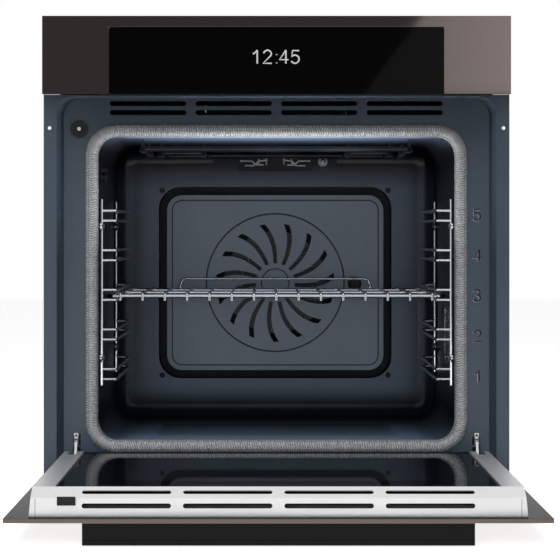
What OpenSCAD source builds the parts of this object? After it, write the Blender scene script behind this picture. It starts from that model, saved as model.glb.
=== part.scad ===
// Built-in wall oven, 60 cm class, shown with its drop-down door open.
// Frame: X across the front (right is +X), Y into the oven with 0 at the cabinet front,
// Z up with 0 at the underside of the casing. Millimetres.

/* [Overall] */
// Width of the fascia, the door and the front frame
front_w = 595; // [580:1:605]
// Height from the underside of the casing to the top of the fascia
front_h = 595; // [590:1:610]
// How far the front stands past each side of the casing
front_overlap = 19.5; // [17.5:0.5:22]
// Depth of the casing behind the cabinet front
casing_depth = 542; // [536:1:570]
// How much lower the casing is than the front
casing_drop = 20; // [16:1:24]
// Thickness of the galvanised casing sheets
casing_t = 1; // [0.8:0.1:1.4]

/* [Cavity] */
// Room on each side of the cavity for its insulation, the hinges and the lamp
side_room = 48.5; // [46:0.5:56]
// Room above the cavity for the insulation, the air duct and the boards
head_room = 132; // [128:1:150]
// Height of the cavity floor above the underside of the casing
cavity_floor = 53; // [50:1:58]
// Depth of the cavity from the front frame to the back wall
cavity_depth = 408; // [395:1:412]
// Corner radius of the cavity
cavity_r = 29; // [26:1:36]
// Radius of the fillet between the cavity's walls and its back
rear_r = 23; // [18:1:25]
// Thickness of the enamelled cavity and frame sheets
enamel_t = 1.2; // [1:0.1:1.5]
// Thickness of the insulation round the cavity
wool_t = 18; // [12:1:19]

/* [Front frame] */
// How far the recessed face of the frame lies behind the cabinet front
recess_y = 22; // [20:0.5:24]
// How far the outer flange stands in front of the cabinet front
flange_y = 5.6; // [5:0.2:7]
// Width of each outer flange
flange_w = 17; // [14:0.5:20]
// Sideways slope of the recess wall, flange to recessed face
recess_slope = 7; // [4:0.5:10]
// Length of an air slot
vent_l = 98; // [70:1:100]
// Pitch of the air slots
vent_pitch = 110; // [104:1:115]
// Height of an air slot
vent_h = 6.5; // [4:0.5:7]
// Diameter of the holes that fix the oven to the cabinet
mount_hole_d = 4.5; // [3.5:0.1:6]
// Height of the cabinet holes
mount_hole_z = 453.3; // [430:0.1:460]

/* [Door] */
// Thickness of the outer glass
glass_t = 4.9; // [4:0.1:6]
// How far the closed door and the fascia stand in front of the cabinet front
front_reach = 22; // [21.5:0.5:24]
// Height of the closed door's lower edge above the underside of the casing
door_gap = 12.7; // [12:0.1:14]
// Gap between the closed door and the fascia
door_top_gap = 3.3; // [2.5:0.1:5]
// Height of the hinge pins above the closed door's lower edge
hinge_drop = 4.7; // [4:0.1:5.5]
// Gap between the open door's lower edge and the frame's flange
door_clear = 1; // [0.6:0.1:1.5]
// Thickness of the door behind its outer glass
door_core = 31.9; // [31:0.1:33]
// How far the door's rails stand in from each side of its outer glass
rail_inset = 29.5; // [27:0.5:34]
// Width of one side rail
rail_w = 24.5; // [23:0.5:26]
// Thickness of the rail and bar sheet
rail_t = 1.2; // [0.8:0.1:1.5]
// Thickness of the inner glass and the middle panes
pane_t = 4; // [3:0.5:4.5]
// Width of the handle
handle_w = 424; // [300:1:460]
// How far the handle stands out from the glass
handle_reach = 24; // [20:0.5:32]
// Height of the handle's front lip
handle_lip = 22; // [16:0.5:26]

/* [Shelf and racks] */
// Wire diameter of the side racks
rack_wire = 4; // [3:0.5:4.5]
// Pitch of the shelf levels
level_pitch = 51.2; // [48:0.1:54]
// Height of the lowest level's lower wire
level_z = 130.4; // [125:0.1:135]
// Level that holds the shelf, counted from the bottom
shelf_level = 3; // [1:1:5]
// Diameter of the shelf's rail wires
shelf_rail = 5; // [4.5:0.5:6]
// Diameter of the shelf's bar wires
shelf_bar = 3.6; // [3:0.2:4.4]
// Number of bar wires
shelf_bars = 15; // [9:2:19]

/* [Convection fan] */
// Width of the fan cover
cover_w = 314; // [300:1:322]
// Room above and below the fan cover, to the cavity's roof and floor
cover_room = 68; // [65:1:75]
// Gap round the fan cover
cover_gap = 12; // [9:0.5:14]
// Number of swirled slots
swirl_n = 15; // [9:1:16]
// Inner radius of the swirled slots
swirl_r0 = 28; // [26:1:34]
// Outer radius of the swirled slots
swirl_r1 = 86; // [76:1:90]
// Angle that a slot turns from its inner to its outer end
swirl_turn = 13; // [0:1:25]
// Outside diameter of the fan wheel
wheel_d = 150; // [130:1:160]
// Number of fan blades
blade_n = 16; // [8:1:20]
// Diameter of the fan shaft
shaft_d = 8; // [6:0.5:9]
// Radius of the ring element
ring_r = 95; // [90:1:100]
// Tube diameter of the heating elements
tube_d = 6.5; // [6:0.1:8]

/* [Control panel] */
// Height of the control fascia
fascia_h = 99; // [96:1:110]
// Thickness of the fascia's front
fascia_t = 3; // [2:0.5:4]
// Width of the display glass
display_w = 425; // [300:1:460]
// Height of the display glass
display_h = 85; // [70:1:90]

/* [Hidden] */

$fn = 48;
eps = 0.01;
galvanised = "#aab0b4";
enamel = "#3c454e";
chrome = "#c8ccd0";
black = "#1c1c1c";

// ---- sizes, heights and depths that follow from the driving sizes ----
casing_w = front_w - 2 * front_overlap;
casing_h = front_h - casing_drop;
cavity_w = casing_w - 2 * side_room;
cavity_h = casing_h - cavity_floor - head_room;
rails_w = front_w - 2 * rail_inset;
front_y = -front_reach;
frame_top = front_h - fascia_h - 1;
frame_low = 3;
face_back = recess_y + enamel_t;
wrap_back = recess_y + cavity_depth;
cavity_mid = cavity_floor + cavity_h / 2;
cover_h = cavity_h - 2 * cover_room;
ceiling = cavity_floor + cavity_h;
cavity_x = cavity_w / 2;
casing_x = casing_w / 2;
rear_y = casing_depth - 5;
rear_boss = 5;
edge_lip = 11;
pivot_y = -(flange_y + hinge_drop + door_clear);
pivot_z = door_gap + hinge_drop;
glass_back = front_y + glass_t;
door_back = glass_back + door_core;
inner_face_y = door_back - 1.8;
door_h = front_h - fascia_h - door_top_gap - door_gap;

// ---- shared shapes ----

// Rounded rectangle with true arcs, centred
module rrect(w, h, r) {
  square([w - 2 * r, h], center = true);
  square([w, h - 2 * r], center = true);
  for (x = [-1, 1], y = [-1, 1]) translate([x * (w / 2 - r), y * (h / 2 - r)]) circle(r);
}

// Slot with round ends, centred, lying along x
module slot(l, h) {
  square([l - h, h], center = true);
  for (x = [-1, 1]) translate([x * (l - h) / 2, 0]) circle(d = h);
}

// Rounded rectangular ring, w and h measured over the outside
module rring(w, h, r, t) {
  difference() {
    rrect(w, h, r);
    rrect(w - 2 * t, h - 2 * t, max(r - t, 0.5));
  }
}

// Extrude an XZ outline along Y, from y to y + t
module along_y(y, t) {
  translate([0, y + t, 0]) rotate([90, 0, 0]) linear_extrude(t) children();
}

// Extrude a YZ outline along X, from x to x + t
module along_x(x, t) {
  translate([x, 0, 0]) rotate([90, 0, 90]) linear_extrude(t) children();
}

// Copy to both sides of the middle plane
module both() {
  children();
  mirror([1, 0, 0]) children();
}

// Box from its lowest corner to its highest
module block(a, b) {
  translate(a) cube([b[0] - a[0], b[1] - a[1], b[2] - a[2]]);
}

// Straight rod between two points
module rod(p, q, d) {
  v = q - p;
  l = norm(v);
  translate(p) rotate([0, acos(v[2] / l), atan2(v[1], v[0])]) cylinder(h = l, d = d);
}

// Round-ended hole or bar along Y
module bore_y(x, z, d, y0, y1) {
  translate([x, y1, z]) rotate([90, 0, 0]) cylinder(h = y1 - y0, d = d);
}

// Round hole or bar along X
module bore_x(y, z, d, x0, x1) {
  translate([x0, y, z]) rotate([0, 90, 0]) cylinder(h = x1 - x0, d = d);
}

// Quarter bend of a tube in the XY plane, from angle a to a + 90
module bend(c, r, a, d) {
  translate(c) rotate([0, 0, a]) rotate_extrude(angle = 90) translate([r, 0]) circle(d = d);
}

// ---- casing ----

// Rows of slots in a sheet, as an XZ or XY outline
module slot_rows(columns, rows, pitch_x, pitch_z, l, h) {
  for (i = [0 : columns - 1], j = [0 : rows - 1])
    translate([(i - (columns - 1) / 2) * pitch_x, (j - (rows - 1) / 2) * pitch_z]) slot(l, h);
}

module base_panel() {
  inner_x = casing_x - casing_t;
  foot_vent_l = 60;
  color(galvanised) {
    difference() {
      block([-casing_x, -5, 0], [casing_x, rear_y, casing_t]);
      translate([0, 300, -1]) linear_extrude(3) slot_rows(5, 4, 80, 24, foot_vent_l, 6);
    }
    both() block([inner_x - casing_t, face_back + casing_t, casing_t], [inner_x, rear_y, edge_lip]);
    block([-inner_x, face_back, casing_t], [inner_x, face_back + casing_t, edge_lip]);
  }
}

module side_panel() {
  inner_x = casing_x - casing_t;
  flange_in = 12;
  rib_d = 3;
  rib_low = 80;
  rib_top = casing_h - 135;
  rib_end = 10;
  color(galvanised) {
    difference() {
      union() {
        block([inner_x, face_back, casing_t], [casing_x, rear_y, casing_h - casing_t]);
        // pressed stiffening ribs, standing inward
        for (y = [150, 380]) along_y(y, 40) polygon([[inner_x - rib_d, rib_low + rib_end], [inner_x, rib_low],
          [inner_x, rib_top], [inner_x - rib_d, rib_top - rib_end]]);
      }
      for (y = [150, 380]) along_y(y + casing_t, 40 - 2 * casing_t)
        polygon([[casing_x - rib_d, rib_low + rib_end], [casing_x + 1, rib_low - 2], [casing_x + 1, rib_top + 2],
          [casing_x - rib_d, rib_top - rib_end]]);
      along_x(inner_x - 1, 3) translate([casing_depth / 2, blower_z - 4]) slot_rows(5, 3, 70, 16, 52, 5);
    }
    block([inner_x - flange_in, face_back, edge_lip], [inner_x, face_back + casing_t, frame_top - 6]);
    block([inner_x - flange_in, rear_y - casing_t, edge_lip], [inner_x, rear_y, casing_h - casing_t]);
  }
}

module side_panel_left() mirror([1, 0, 0]) side_panel();
module side_panel_right() side_panel();

terminal_x = 190;
terminal_z = frame_top + 10;
terminal_box_size = [96, 40, 60];

module rear_cover() {
  panel = [340, 300];
  panel_z = cavity_mid;
  color(galvanised) difference() {
    union() {
      along_y(rear_y, casing_t) translate([0, casing_h / 2]) square([casing_w, casing_h], center = true);
      along_y(rear_y, rear_boss) translate([0, panel_z]) rrect(panel[0], panel[1], 18);
    }
    along_y(rear_y - 1, rear_boss - casing_t + 1) translate([0, panel_z])
      rrect(panel[0] - 2 * casing_t, panel[1] - 2 * casing_t, 17);
    along_y(rear_y - 1, rear_boss + 2) translate([0, panel_z + 60]) slot_rows(4, 5, 66, 16, 50, 6);
    along_y(rear_y - 1, rear_boss + 2) translate([-90, blower_z + 1]) slot_rows(4, 4, 62, 15, 48, 6);
    along_y(rear_y - 1, 3) translate([terminal_x, terminal_z])
      square([terminal_box_size[0] + 0.6, terminal_box_size[2] + 0.6], center = true);
  }
}

module top_cover() {
  inner_x = casing_x - casing_t;
  color(galvanised) {
    difference() {
      block([-casing_x, bracket_y + casing_t, casing_h - casing_t], [casing_x, rear_y, casing_h]);
      translate([0, 380, casing_h - 2]) linear_extrude(3) slot_rows(5, 5, 80, 20, 60, 6);
    }
    both() block([inner_x - casing_t, bracket_y + casing_t, casing_h - edge_lip],
      [inner_x, rear_y - casing_t, casing_h - casing_t]);
  }
}

bracket_y = 14;

module front_bracket() {
  window = [90, 44];
  color(galvanised) {
    along_y(bracket_y, casing_t) difference() {
      translate([0, (frame_top + casing_h) / 2]) square([casing_w, casing_h - frame_top], center = true);
      for (x = [-1, 1]) translate([x * 110, (frame_top + casing_h) / 2]) rrect(window[0], window[1], 8);
    }
    block([-casing_x, bracket_y, frame_top], [casing_x, face_back, frame_top + casing_t]);
  }
}

// ---- enamelled frame and cavity ----

hinge_x = casing_x - 21.25;
hinge_slot = [10.5, 23.6];
hinge_slot_z = 48.8;
vent_z = [frame_top - 20.7, frame_top - 9.1];
recess_r = 22;
switch_x = -(cavity_x + 24.1);
switch_z = mount_hole_z;
switch_d = 20;

// Outline of the recess at the flange (k = 0) and at the recessed face (k = 1), in XZ
module recess_outline(k, grow) {
  w = front_w - 2 * flange_w - 2 * recess_slope * k + 2 * grow;
  top = frame_top - enamel_t - 2 * k + grow;
  h = top - frame_low + 60;
  translate([0, top - h / 2]) rrect(w, h, recess_r);
}

module front_frame() {
  fascia_seam = 0.4;
  flange_in = front_w / 2 - flange_w;
  flange_top = fascia_low - fascia_seam;
  rim_x = front_w / 2 - 0.5;
  color(enamel) difference() {
    union() {
      difference() {
        hull() {
          along_y(-flange_y, eps) recess_outline(0, enamel_t, $fn = 32);
          along_y(face_back - eps, eps) recess_outline(1, enamel_t, $fn = 32);
        }
        hull() {
          along_y(-flange_y - eps, eps) recess_outline(0, 0, $fn = 32);
          along_y(recess_y - eps, eps) recess_outline(1, 0, $fn = 32);
        }
      }
      both() block([flange_in, -flange_y, frame_low], [rim_x, enamel_t - flange_y, flange_top]);
      both() block([rim_x - enamel_t, -flange_y, frame_low], [rim_x, 0, flange_top]);
      // lintel that closes the frame above the recess and round its upper corners
      along_y(-flange_y, enamel_t) difference() {
        translate([-flange_in - eps, flange_top - 2 * recess_r]) square([2 * (flange_in + eps), 2 * recess_r]);
        recess_outline(0, 0);
      }
    }
    block([-front_w, -50, -100], [front_w, 50, frame_low]);
    along_y(recess_y - 1, 4) translate([0, cavity_mid]) rrect(cavity_w, cavity_h, cavity_r);
    for (z = vent_z) along_y(recess_y - 1, 4) translate([0, z]) slot_rows(4, 1, vent_pitch, 1, vent_l, vent_h);
    both() along_y(recess_y - 1, 4) translate([hinge_x, hinge_slot_z]) square(hinge_slot, center = true);
    bore_y(switch_x, switch_z, switch_d, recess_y - 1, recess_y + 4);
    both() bore_y(mount_hole_x, mount_hole_z, mount_hole_d, -flange_y - 1, enamel_t - flange_y + 1);
  }
}

mount_hole_x = front_w / 2 - flange_w / 2 + 0.5;
lamp_y = 150;
lamp_z = 185;
lamp_size = [80, 82];
probe_y = 78;
probe_z = ceiling - 50;
probe_d = 12;
pan_depth = 48;
pan_w = cover_w + 2 * cover_gap;
pan_h = cover_h + 2 * cover_gap;
pan_r = 32;
fan_z = cavity_mid - 1;
flange_plate = [110, 30];
flange_z = ceiling - 19;
sensor_x = 69;
sensor_z = ceiling - 20.5;
sensor_d = 7;
tray = [320, 226, 3];
tray_y = 94;
stud_d = 6;
stud_head = [7.4, 1.6];

// Pressed field in the floor or the ceiling, standing out by d, as a closed block
module pressed_field(w, y0, y1, z, d, t) {
  slope = 6;
  a = w / 2 + t;
  along_y(y0, y1 - y0) polygon([[-a, z], [a, z], [a - slope, z + d], [slope - a, z + d]]);
}

module cavity_wrap() {
  length = wrap_back - rear_r - face_back;
  color(enamel) difference() {
    union() {
      along_y(face_back, length) translate([0, cavity_mid])
        rring(cavity_w + 2 * enamel_t, cavity_h + 2 * enamel_t, cavity_r + enamel_t, enamel_t);
      pressed_field(tray[0], tray_y - enamel_t, tray_y + tray[1] + enamel_t,
        cavity_floor - enamel_t / 2, -tray[2] - enamel_t / 2, enamel_t);
    }
    pressed_field(tray[0], tray_y, tray_y + tray[1], cavity_floor + 1, -tray[2] - 1, 0);
    along_x(cavity_x - 1, enamel_t + 2) translate([lamp_y, lamp_z]) rrect(lamp_size[0], lamp_size[1], 8);
    bore_x(probe_y, probe_z, probe_d + 0.4, -cavity_x - enamel_t - 1, 1 - cavity_x);
    both() for (p = rack_stud_places) bore_x(p[0], p[1], stud_d, cavity_x - 1, cavity_x + enamel_t + 1);
  }
}

boss_x = 90;

// Section through the enamelled rear fillet, a quarter ring in its first quadrant
module fillet_section() {
  intersection() {
    difference() {
      circle(rear_r + enamel_t);
      circle(rear_r);
    }
    square(2 * rear_r);
  }
}

// Upper right corner where the rear fillet follows the cavity's corner
module fillet_corner() {
  flat_r = cavity_r - rear_r;
  rotate([90, 0, 0]) rotate_extrude(angle = 90) {
    translate([flat_r, 0]) mirror([0, 1]) fillet_section();
    translate([0, -rear_r - enamel_t]) square([flat_r, enamel_t]);
  }
}

// Cheek that closes the fillet's end beside the flat element boss
module fillet_cheek() {
  lip = 0.4;
  difference() {
    translate([2, 2]) square(rear_r + enamel_t - 2);
    circle(rear_r - lip);
  }
}

module cavity_back_wall() {
  x = cavity_x - cavity_r;
  z = cavity_h / 2 - cavity_r;
  y = wrap_back - rear_r;
  flat_x = cavity_x - rear_r;
  flat_z = cavity_h / 2 - rear_r;
  color(enamel) difference() {
    translate([0, 0, cavity_mid]) {
      block([-flat_x, wrap_back, -z], [flat_x, wrap_back + enamel_t, z]);
      block([-x, wrap_back, -flat_z], [x, wrap_back + enamel_t, flat_z]);
      both() {
        translate([flat_x, y, -z]) linear_extrude(2 * z) fillet_section();
        translate([x, y, z]) fillet_corner();
        mirror([0, 0, 1]) translate([x, y, z]) fillet_corner();
        along_x(boss_x, x - boss_x) translate([y, flat_z]) fillet_section();
        along_x(boss_x, enamel_t) translate([y, flat_z]) fillet_cheek();
      }
      mirror([0, 0, 1]) along_x(-x, 2 * x) translate([y, flat_z]) fillet_section();
      // flat boss that the roof elements and the sensor pass through
      block([-boss_x, wrap_back, z], [boss_x, wrap_back + enamel_t, cavity_h / 2]);
      block([-boss_x - enamel_t, y, cavity_h / 2], [boss_x + enamel_t, wrap_back + enamel_t,
        cavity_h / 2 + enamel_t]);
    }
    along_y(wrap_back - 1, 4) translate([0, fan_z]) rrect(pan_w, pan_h, pan_r);
    along_y(wrap_back - 1, 4) translate([0, flange_z]) square(flange_hole, center = true);
    bore_y(sensor_x, sensor_z, sensor_d + 0.6, wrap_back - 1, wrap_back + 4);
    for (i = [-1, 1], k = [-1, 1]) bore_y(i * cover_screw[0], fan_z + k * cover_screw[1],
      screw_d, wrap_back - 1, wrap_back + 4);
  }
}

flange_hole = [96, 22];
cover_screw = [pan_w / 2 - 5, pan_h / 2 - 5];
screw_d = 4;
cover_screw_head = 8;

module fan_chamber_pan() {
  y0 = wrap_back + enamel_t;
  rim = 14;
  color(enamel) difference() {
    union() {
      along_y(y0, 1) translate([0, fan_z]) rrect(pan_w + 2 * rim, pan_h + 2 * rim, pan_r + rim);
      along_y(y0, pan_depth) translate([0, fan_z]) rrect(pan_w + 2, pan_h + 2, pan_r + 1);
    }
    along_y(y0 - 1, pan_depth) translate([0, fan_z]) rrect(pan_w, pan_h, pan_r);
    bore_y(0, fan_z, shaft_d + 6, y0, y0 + pan_depth + 1);
    for (x = ring_ends) bore_y(x, fan_z + ring_end_z, tube_d + 1, y0, y0 + pan_depth + 1);
    for (x = [-1, 1], z = [-1, 1]) bore_y(x * cover_screw[0], fan_z + z * cover_screw[1],
      screw_d, y0 - 1, y0 + 2);
  }
}

pan_back = wrap_back + enamel_t + pan_depth;
ring_gap_angle = 8;
ring_ends = [-ring_r * sin(ring_gap_angle), ring_r * sin(ring_gap_angle)];
ring_end_z = -ring_r * cos(ring_gap_angle);

module insulation() {
  y0 = 96;
  y1 = wrap_back - rear_r - 1;
  gap = 0.5 + tray[2];
  w = cavity_w + 2 * (enamel_t + gap);
  h = cavity_h + 2 * (enamel_t + gap);
  color("#c9c3a8") difference() {
    along_y(y0, y1 - y0) translate([0, cavity_mid])
      rring(w + 2 * wool_t, h + 2 * wool_t, cavity_r + wool_t, wool_t);
    // room for the lamp and for the element under the floor
    block([cavity_x, lamp_y - lamp_size[0] / 2 - 14, lamp_z - lamp_size[1] / 2 - 14],
      [cavity_x + 50, lamp_y + lamp_size[0] / 2 + 26, lamp_z + lamp_size[1] / 2 + 14]);
    block([-reflector_x - 2, y0 - 1, floor_element_z - tube_d / 2 - 2], [reflector_x + 2, y1 + 1, cavity_floor]);
  }
}

seal_w = 15.5;
seal_r = 24;
seal_gap = 0.3;

// D-section of the braided tube: across, then proud of the frame
module seal_profile() {
  proud = recess_y - inner_face_y - seal_gap;
  r = (seal_w * seal_w / 4 + proud * proud) / (2 * proud);
  intersection() {
    translate([0, proud - r]) circle(r);
    translate([-seal_w, 0]) square([2 * seal_w, 2 * seal_w]);
  }
}

module door_seal() {
  w = cavity_w + seal_w;
  h = cavity_h + seal_w;
  run_r = seal_r + seal_w / 2;
  color("#8b8b8b") translate([0, recess_y, cavity_mid]) rotate([90, 0, 0]) {
    for (s = [-1, 1]) {
      translate([0, s * h / 2, 0]) rotate([90, 0, 90])
        linear_extrude(w - 2 * run_r, center = true) seal_profile();
      translate([s * w / 2, 0, 0]) rotate([90, 0, 0])
        linear_extrude(h - 2 * run_r, center = true) seal_profile();
    }
    for (q = [0 : 3]) translate([(q == 0 || q == 3 ? 1 : -1) * (w / 2 - run_r),
      (q < 2 ? 1 : -1) * (h / 2 - run_r), 0]) rotate([0, 0, 90 * q])
      rotate_extrude(angle = 90) translate([run_r, 0]) seal_profile();
  }
}

// ---- convection fan and its cover ----

cover_y = wrap_back - 1.5;
cover_r = 22;
cover_t = 1.2;

// Outline of one swirled slot; it bends more and widens towards its outer end
module swirl_slot() {
  steps = 8;
  half = [2.6, 4.2];
  function at(k, side) = let (r = swirl_r0 + (swirl_r1 - swirl_r0) * k,
    a = 90 + swirl_turn * k * k, w = side * (half[0] + (half[1] - half[0]) * k))
    [r * cos(a) - w * sin(a), r * sin(a) + w * cos(a)];
  polygon(concat([for (i = [0 : steps]) at(i / steps, 1)], [for (i = [steps : -1 : 0]) at(i / steps, -1)]));
}

// Ring groove in the cover's front
module cover_groove(r, w, depth) {
  translate([0, cover_y - eps, fan_z]) rotate([-90, 0, 0]) difference() {
    cylinder(h = depth + eps, r = r + w / 2);
    translate([0, 0, -1]) cylinder(h = depth + 3, r = r - w / 2);
  }
}

module fan_cover() {
  skirt = 9;
  leg = [cover_w / 2 - 18, cover_h / 2 - 18];
  leg_d = 8;
  crease_in = 6.5;
  crease_w = 1.8;
  crease = 0.6;
  slot_start = 360 / swirl_n;
  color(enamel) {
    difference() {
      union() {
        along_y(cover_y, cover_t) translate([0, fan_z]) rrect(cover_w, cover_h, cover_r);
        along_y(cover_y, skirt) translate([0, fan_z]) rring(cover_w, cover_h, cover_r, cover_t);
      }
      for (i = [0 : swirl_n - 1]) along_y(cover_y - 1, cover_t + 2) translate([0, fan_z])
        rotate(i * slot_start) swirl_slot();
      along_y(cover_y - eps, crease + eps) translate([0, fan_z])
        rring(cover_w - 2 * crease_in, cover_h - 2 * crease_in, cover_r - crease_in, crease_w);
      cover_groove(100, 2.3, crease);
      cover_groove(20, 1.6, crease);
      bore_y(humidity_x, fan_z - 1, humidity_d, cover_y - 1, cover_y + 3);
    }
    for (x = [-1, 1], z = [-1, 1]) bore_y(x * leg[0], fan_z + z * leg[1], leg_d, cover_y + cover_t - eps,
      pan_back - 1);
  }
}

humidity_x = 115;
humidity_d = 15;

// Pan-head screw that points along +Y, head towards the front
module screw_y(x, y, z, d, head_d, head_h, length) {
  bore_y(x, z, d, y - eps, y + length);
  translate([x, y, z]) rotate([90, 0, 0]) difference() {
    cylinder(h = head_h, d = head_d);
    translate([0, 0, head_h / 2]) cylinder(h = head_h, d = head_d * 0.4, $fn = 6);
  }
}

module fan_cover_screws() {
  color(black) for (x = [-1, 1], z = [-1, 1])
    screw_y(x * cover_screw[0], wrap_back, fan_z + z * cover_screw[1], screw_d - 0.1, cover_screw_head, 2.4, 8);
}

wheel_back = pan_back - 12;
wheel_front = cover_y + 8;

module fan_wheel() {
  disc_t = 1.2;
  blade_t = 1;
  blade_r0 = 44;
  lean = 28;
  hub_d = 18;
  color("#5a6066") {
    difference() {
      union() {
        bore_y(0, fan_z, wheel_d, wheel_back - disc_t, wheel_back);
        bore_y(0, fan_z, hub_d, wheel_back - 16, wheel_back);
      }
      bore_y(0, fan_z, shaft_d + 0.04, wheel_back - 20, wheel_back + 1);
    }
    for (i = [0 : blade_n - 1]) translate([0, 0, fan_z]) rotate([0, 360 / blade_n * i, 0])
      translate([(blade_r0 + wheel_d / 2) / 2, 0, 0]) rotate([0, lean, 0])
      block([-(wheel_d / 2 - blade_r0) / 2 + 2, wheel_front, -blade_t / 2],
        [(wheel_d / 2 - blade_r0) / 2 - 2, wheel_back - disc_t + eps, blade_t / 2]);
  }
}

motor_y = pan_back + 16;
stack_t = 18;
motor_rotor_d = 26;
motor_end = rear_y - 2;

module fan_shaft() {
  nut_h = 6;
  color(chrome) {
    bore_y(0, fan_z, shaft_d, wheel_back - 24, motor_end - 4);
    translate([0, wheel_back - 16, fan_z]) rotate([90, 0, 0]) cylinder(h = nut_h, d = 15, $fn = 6);
    bore_y(0, fan_z, motor_rotor_d, motor_y, motor_y + stack_t);
  }
}

module fan_motor() {
  stack = [64, 56];
  stay_x = 44;
  bridge_t = 2;
  color("#7c5a3a") difference() {
    along_y(motor_y, stack_t) translate([0, fan_z]) square(stack, center = true);
    bore_y(0, fan_z, motor_rotor_d + 1.2, motor_y - 1, motor_y + stack_t + 1);
  }
  color(galvanised) {
    // front bridge screwed to the chamber pan, and the rear bearing bridge
    for (y = [pan_back, motor_y + stack_t + 6]) difference() {
      along_y(y, bridge_t) translate([0, fan_z]) square([2 * stay_x + 12, 24], center = true);
      bore_y(0, fan_z, shaft_d + 0.1, y - 1, y + bridge_t + 1);
    }
    both() block([stay_x - 4, pan_back + bridge_t, fan_z - 8], [stay_x, motor_y + stack_t + 6, fan_z + 8]);
    both() block([stack[0] / 2, motor_y + 4, fan_z - 6], [stay_x - 4, motor_y + stack_t - 4, fan_z + 6]);
  }
}

module ring_heater() {
  ys = [wheel_front + 12, wheel_front + 24];
  past = 1.2;
  sweep = 360 - 2 * (ring_gap_angle - past);
  color("#4a4744") {
    for (y = ys) translate([0, y, fan_z]) rotate([90, 0, 0]) rotate([0, 0, 270 + ring_gap_angle - past])
      rotate_extrude(angle = sweep) translate([ring_r, 0]) circle(d = tube_d);
    // the front turn joins the rear one, and both terminals leave through the pan
    for (x = ring_ends) bore_y(x, fan_z + ring_end_z, tube_d - 0.1, ys[0] - tube_d / 2 - 0.4, pan_back + 14);
  }
}

// ---- heating elements in the roof and under the floor ----

element_z = ceiling - 13.5;

// Half of a bent element on the +X side: terminal, out and forward, then across at y_front,
// either straight to the middle or back along x_in and across at y_in
module element_half(z, x_term, y_term, y_back, x_out, y_front, d, x_in = 0, y_in = 0) {
  r = 8;
  rod([x_term, y_back + r, z], [x_term, y_term, z], d);
  bend([x_term + r, y_back + r, z], r, 180, d);
  rod([x_term + r, y_back, z], [x_out - r, y_back, z], d);
  bend([x_out - r, y_back - r, z], r, 0, d);
  rod([x_out, y_front + r, z], [x_out, y_back - r, z], d);
  bend([x_out - r, y_front + r, z], r, 270, d);
  if (x_in > 0) {
    rod([x_in + r, y_front, z], [x_out - r, y_front, z], d);
    bend([x_in + r, y_front + r, z], r, 180, d);
    rod([x_in, y_front + r, z], [x_in, y_in - r, z], d);
    bend([x_in - r, y_in - r, z], r, 0, d);
    rod([0, y_in, z], [x_in - r, y_in, z], d);
  } else rod([0, y_front, z], [x_out - r, y_front, z], d);
}

element_end = wrap_back + 34;
top_x = cavity_x - 53.5;
grill_x = [top_x - 16, top_x - 75];
grill_y = [wrap_back - 180, wrap_back - 64, wrap_back - 38];
term_x = [16, 36];
tube_gap = 0.2;

module grill_heater() {
  color("#3a3836") both()
    element_half(element_z, term_x[0], element_end, grill_y[2], grill_x[0], grill_y[0], tube_d,
      grill_x[1], grill_y[1]);
}

module top_heater() {
  color("#3a3836") both() element_half(element_z, term_x[1], element_end, wrap_back - 22, top_x, 80, tube_d);
}

module heater_flange() {
  plate_t = 2;
  color(galvanised) difference() {
    union() {
      along_y(wrap_back - plate_t, plate_t) translate([0, flange_z]) rrect(flange_plate[0], flange_plate[1], 4);
      along_y(wrap_back, 10) translate([0, flange_z]) square([flange_hole[0] - 1, flange_hole[1] - 1], center = true);
    }
    for (s = [-1, 1], x = term_x) bore_y(s * x, element_z, tube_d + tube_gap, wrap_back - 4, wrap_back + 12);
  }
}

// Ring clips that hang the elements from the cavity's roof
module heater_hangers() {
  ring = 3;
  clip = 6;
  stem = 3;
  color(galvanised) both() for (p = [[top_x, 110], [top_x, 290], [grill_x[0], 310], [grill_x[1], 310]])
    difference() {
      union() {
        bore_y(p[0], element_z, tube_d + ring, p[1], p[1] + clip);
        block([p[0] - stem / 2, p[1], element_z], [p[0] + stem / 2, p[1] + clip, ceiling]);
      }
      bore_y(p[0], element_z, tube_d + tube_gap, p[1] - 1, p[1] + clip + 1);
    }
}

reflector_x = 190;
floor_element_z = cavity_floor - tray[2] - enamel_t - 6 - tube_d / 2;

module bottom_heater() {
  z = floor_element_z;
  color("#3a3836") {
    both() element_half(z, 20, wrap_back - 50, 360, 170, 110, tube_d);
    // flat reflector that carries the element
    difference() {
      block([-reflector_x, 96, z - tube_d / 2 - 1], [reflector_x, 376, z - tube_d / 2]);
      for (x = [-100, 0, 100]) translate([x, 236, z - 20]) cylinder(h = 40, d = 24);
    }
  }
}

// ---- sensors, lamp and probe socket ----

module temperature_sensor() {
  reach = 46;
  color(chrome) {
    bore_y(sensor_x, sensor_z, 5, wrap_back - reach, wrap_back + 30);
    translate([sensor_x, wrap_back - reach, sensor_z]) sphere(d = 5);
    bore_y(sensor_x, sensor_z, 14, wrap_back - 2, wrap_back);
    bore_y(sensor_x, sensor_z, sensor_d, wrap_back - eps, wrap_back + 8);
  }
}

module humidity_sensor() {
  head_d = 20;
  head_h = 9;
  color(black) translate([humidity_x, cover_y, fan_z - 1]) rotate([90, 0, 0]) rotate_extrude()
    polygon([[0, -pan_depth - cover_t], [6, -pan_depth - cover_t], [6, -3], [humidity_d / 2 - 0.3, -3],
      [humidity_d / 2 - 0.3, 0], [head_d / 2, 0], [head_d / 2, 3], [head_d / 2 - 3, head_h], [0, head_h]]);
}

lamp_wall = cavity_x + enamel_t;
lamp_depth = 26;
lamp_rim = 8;

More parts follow.
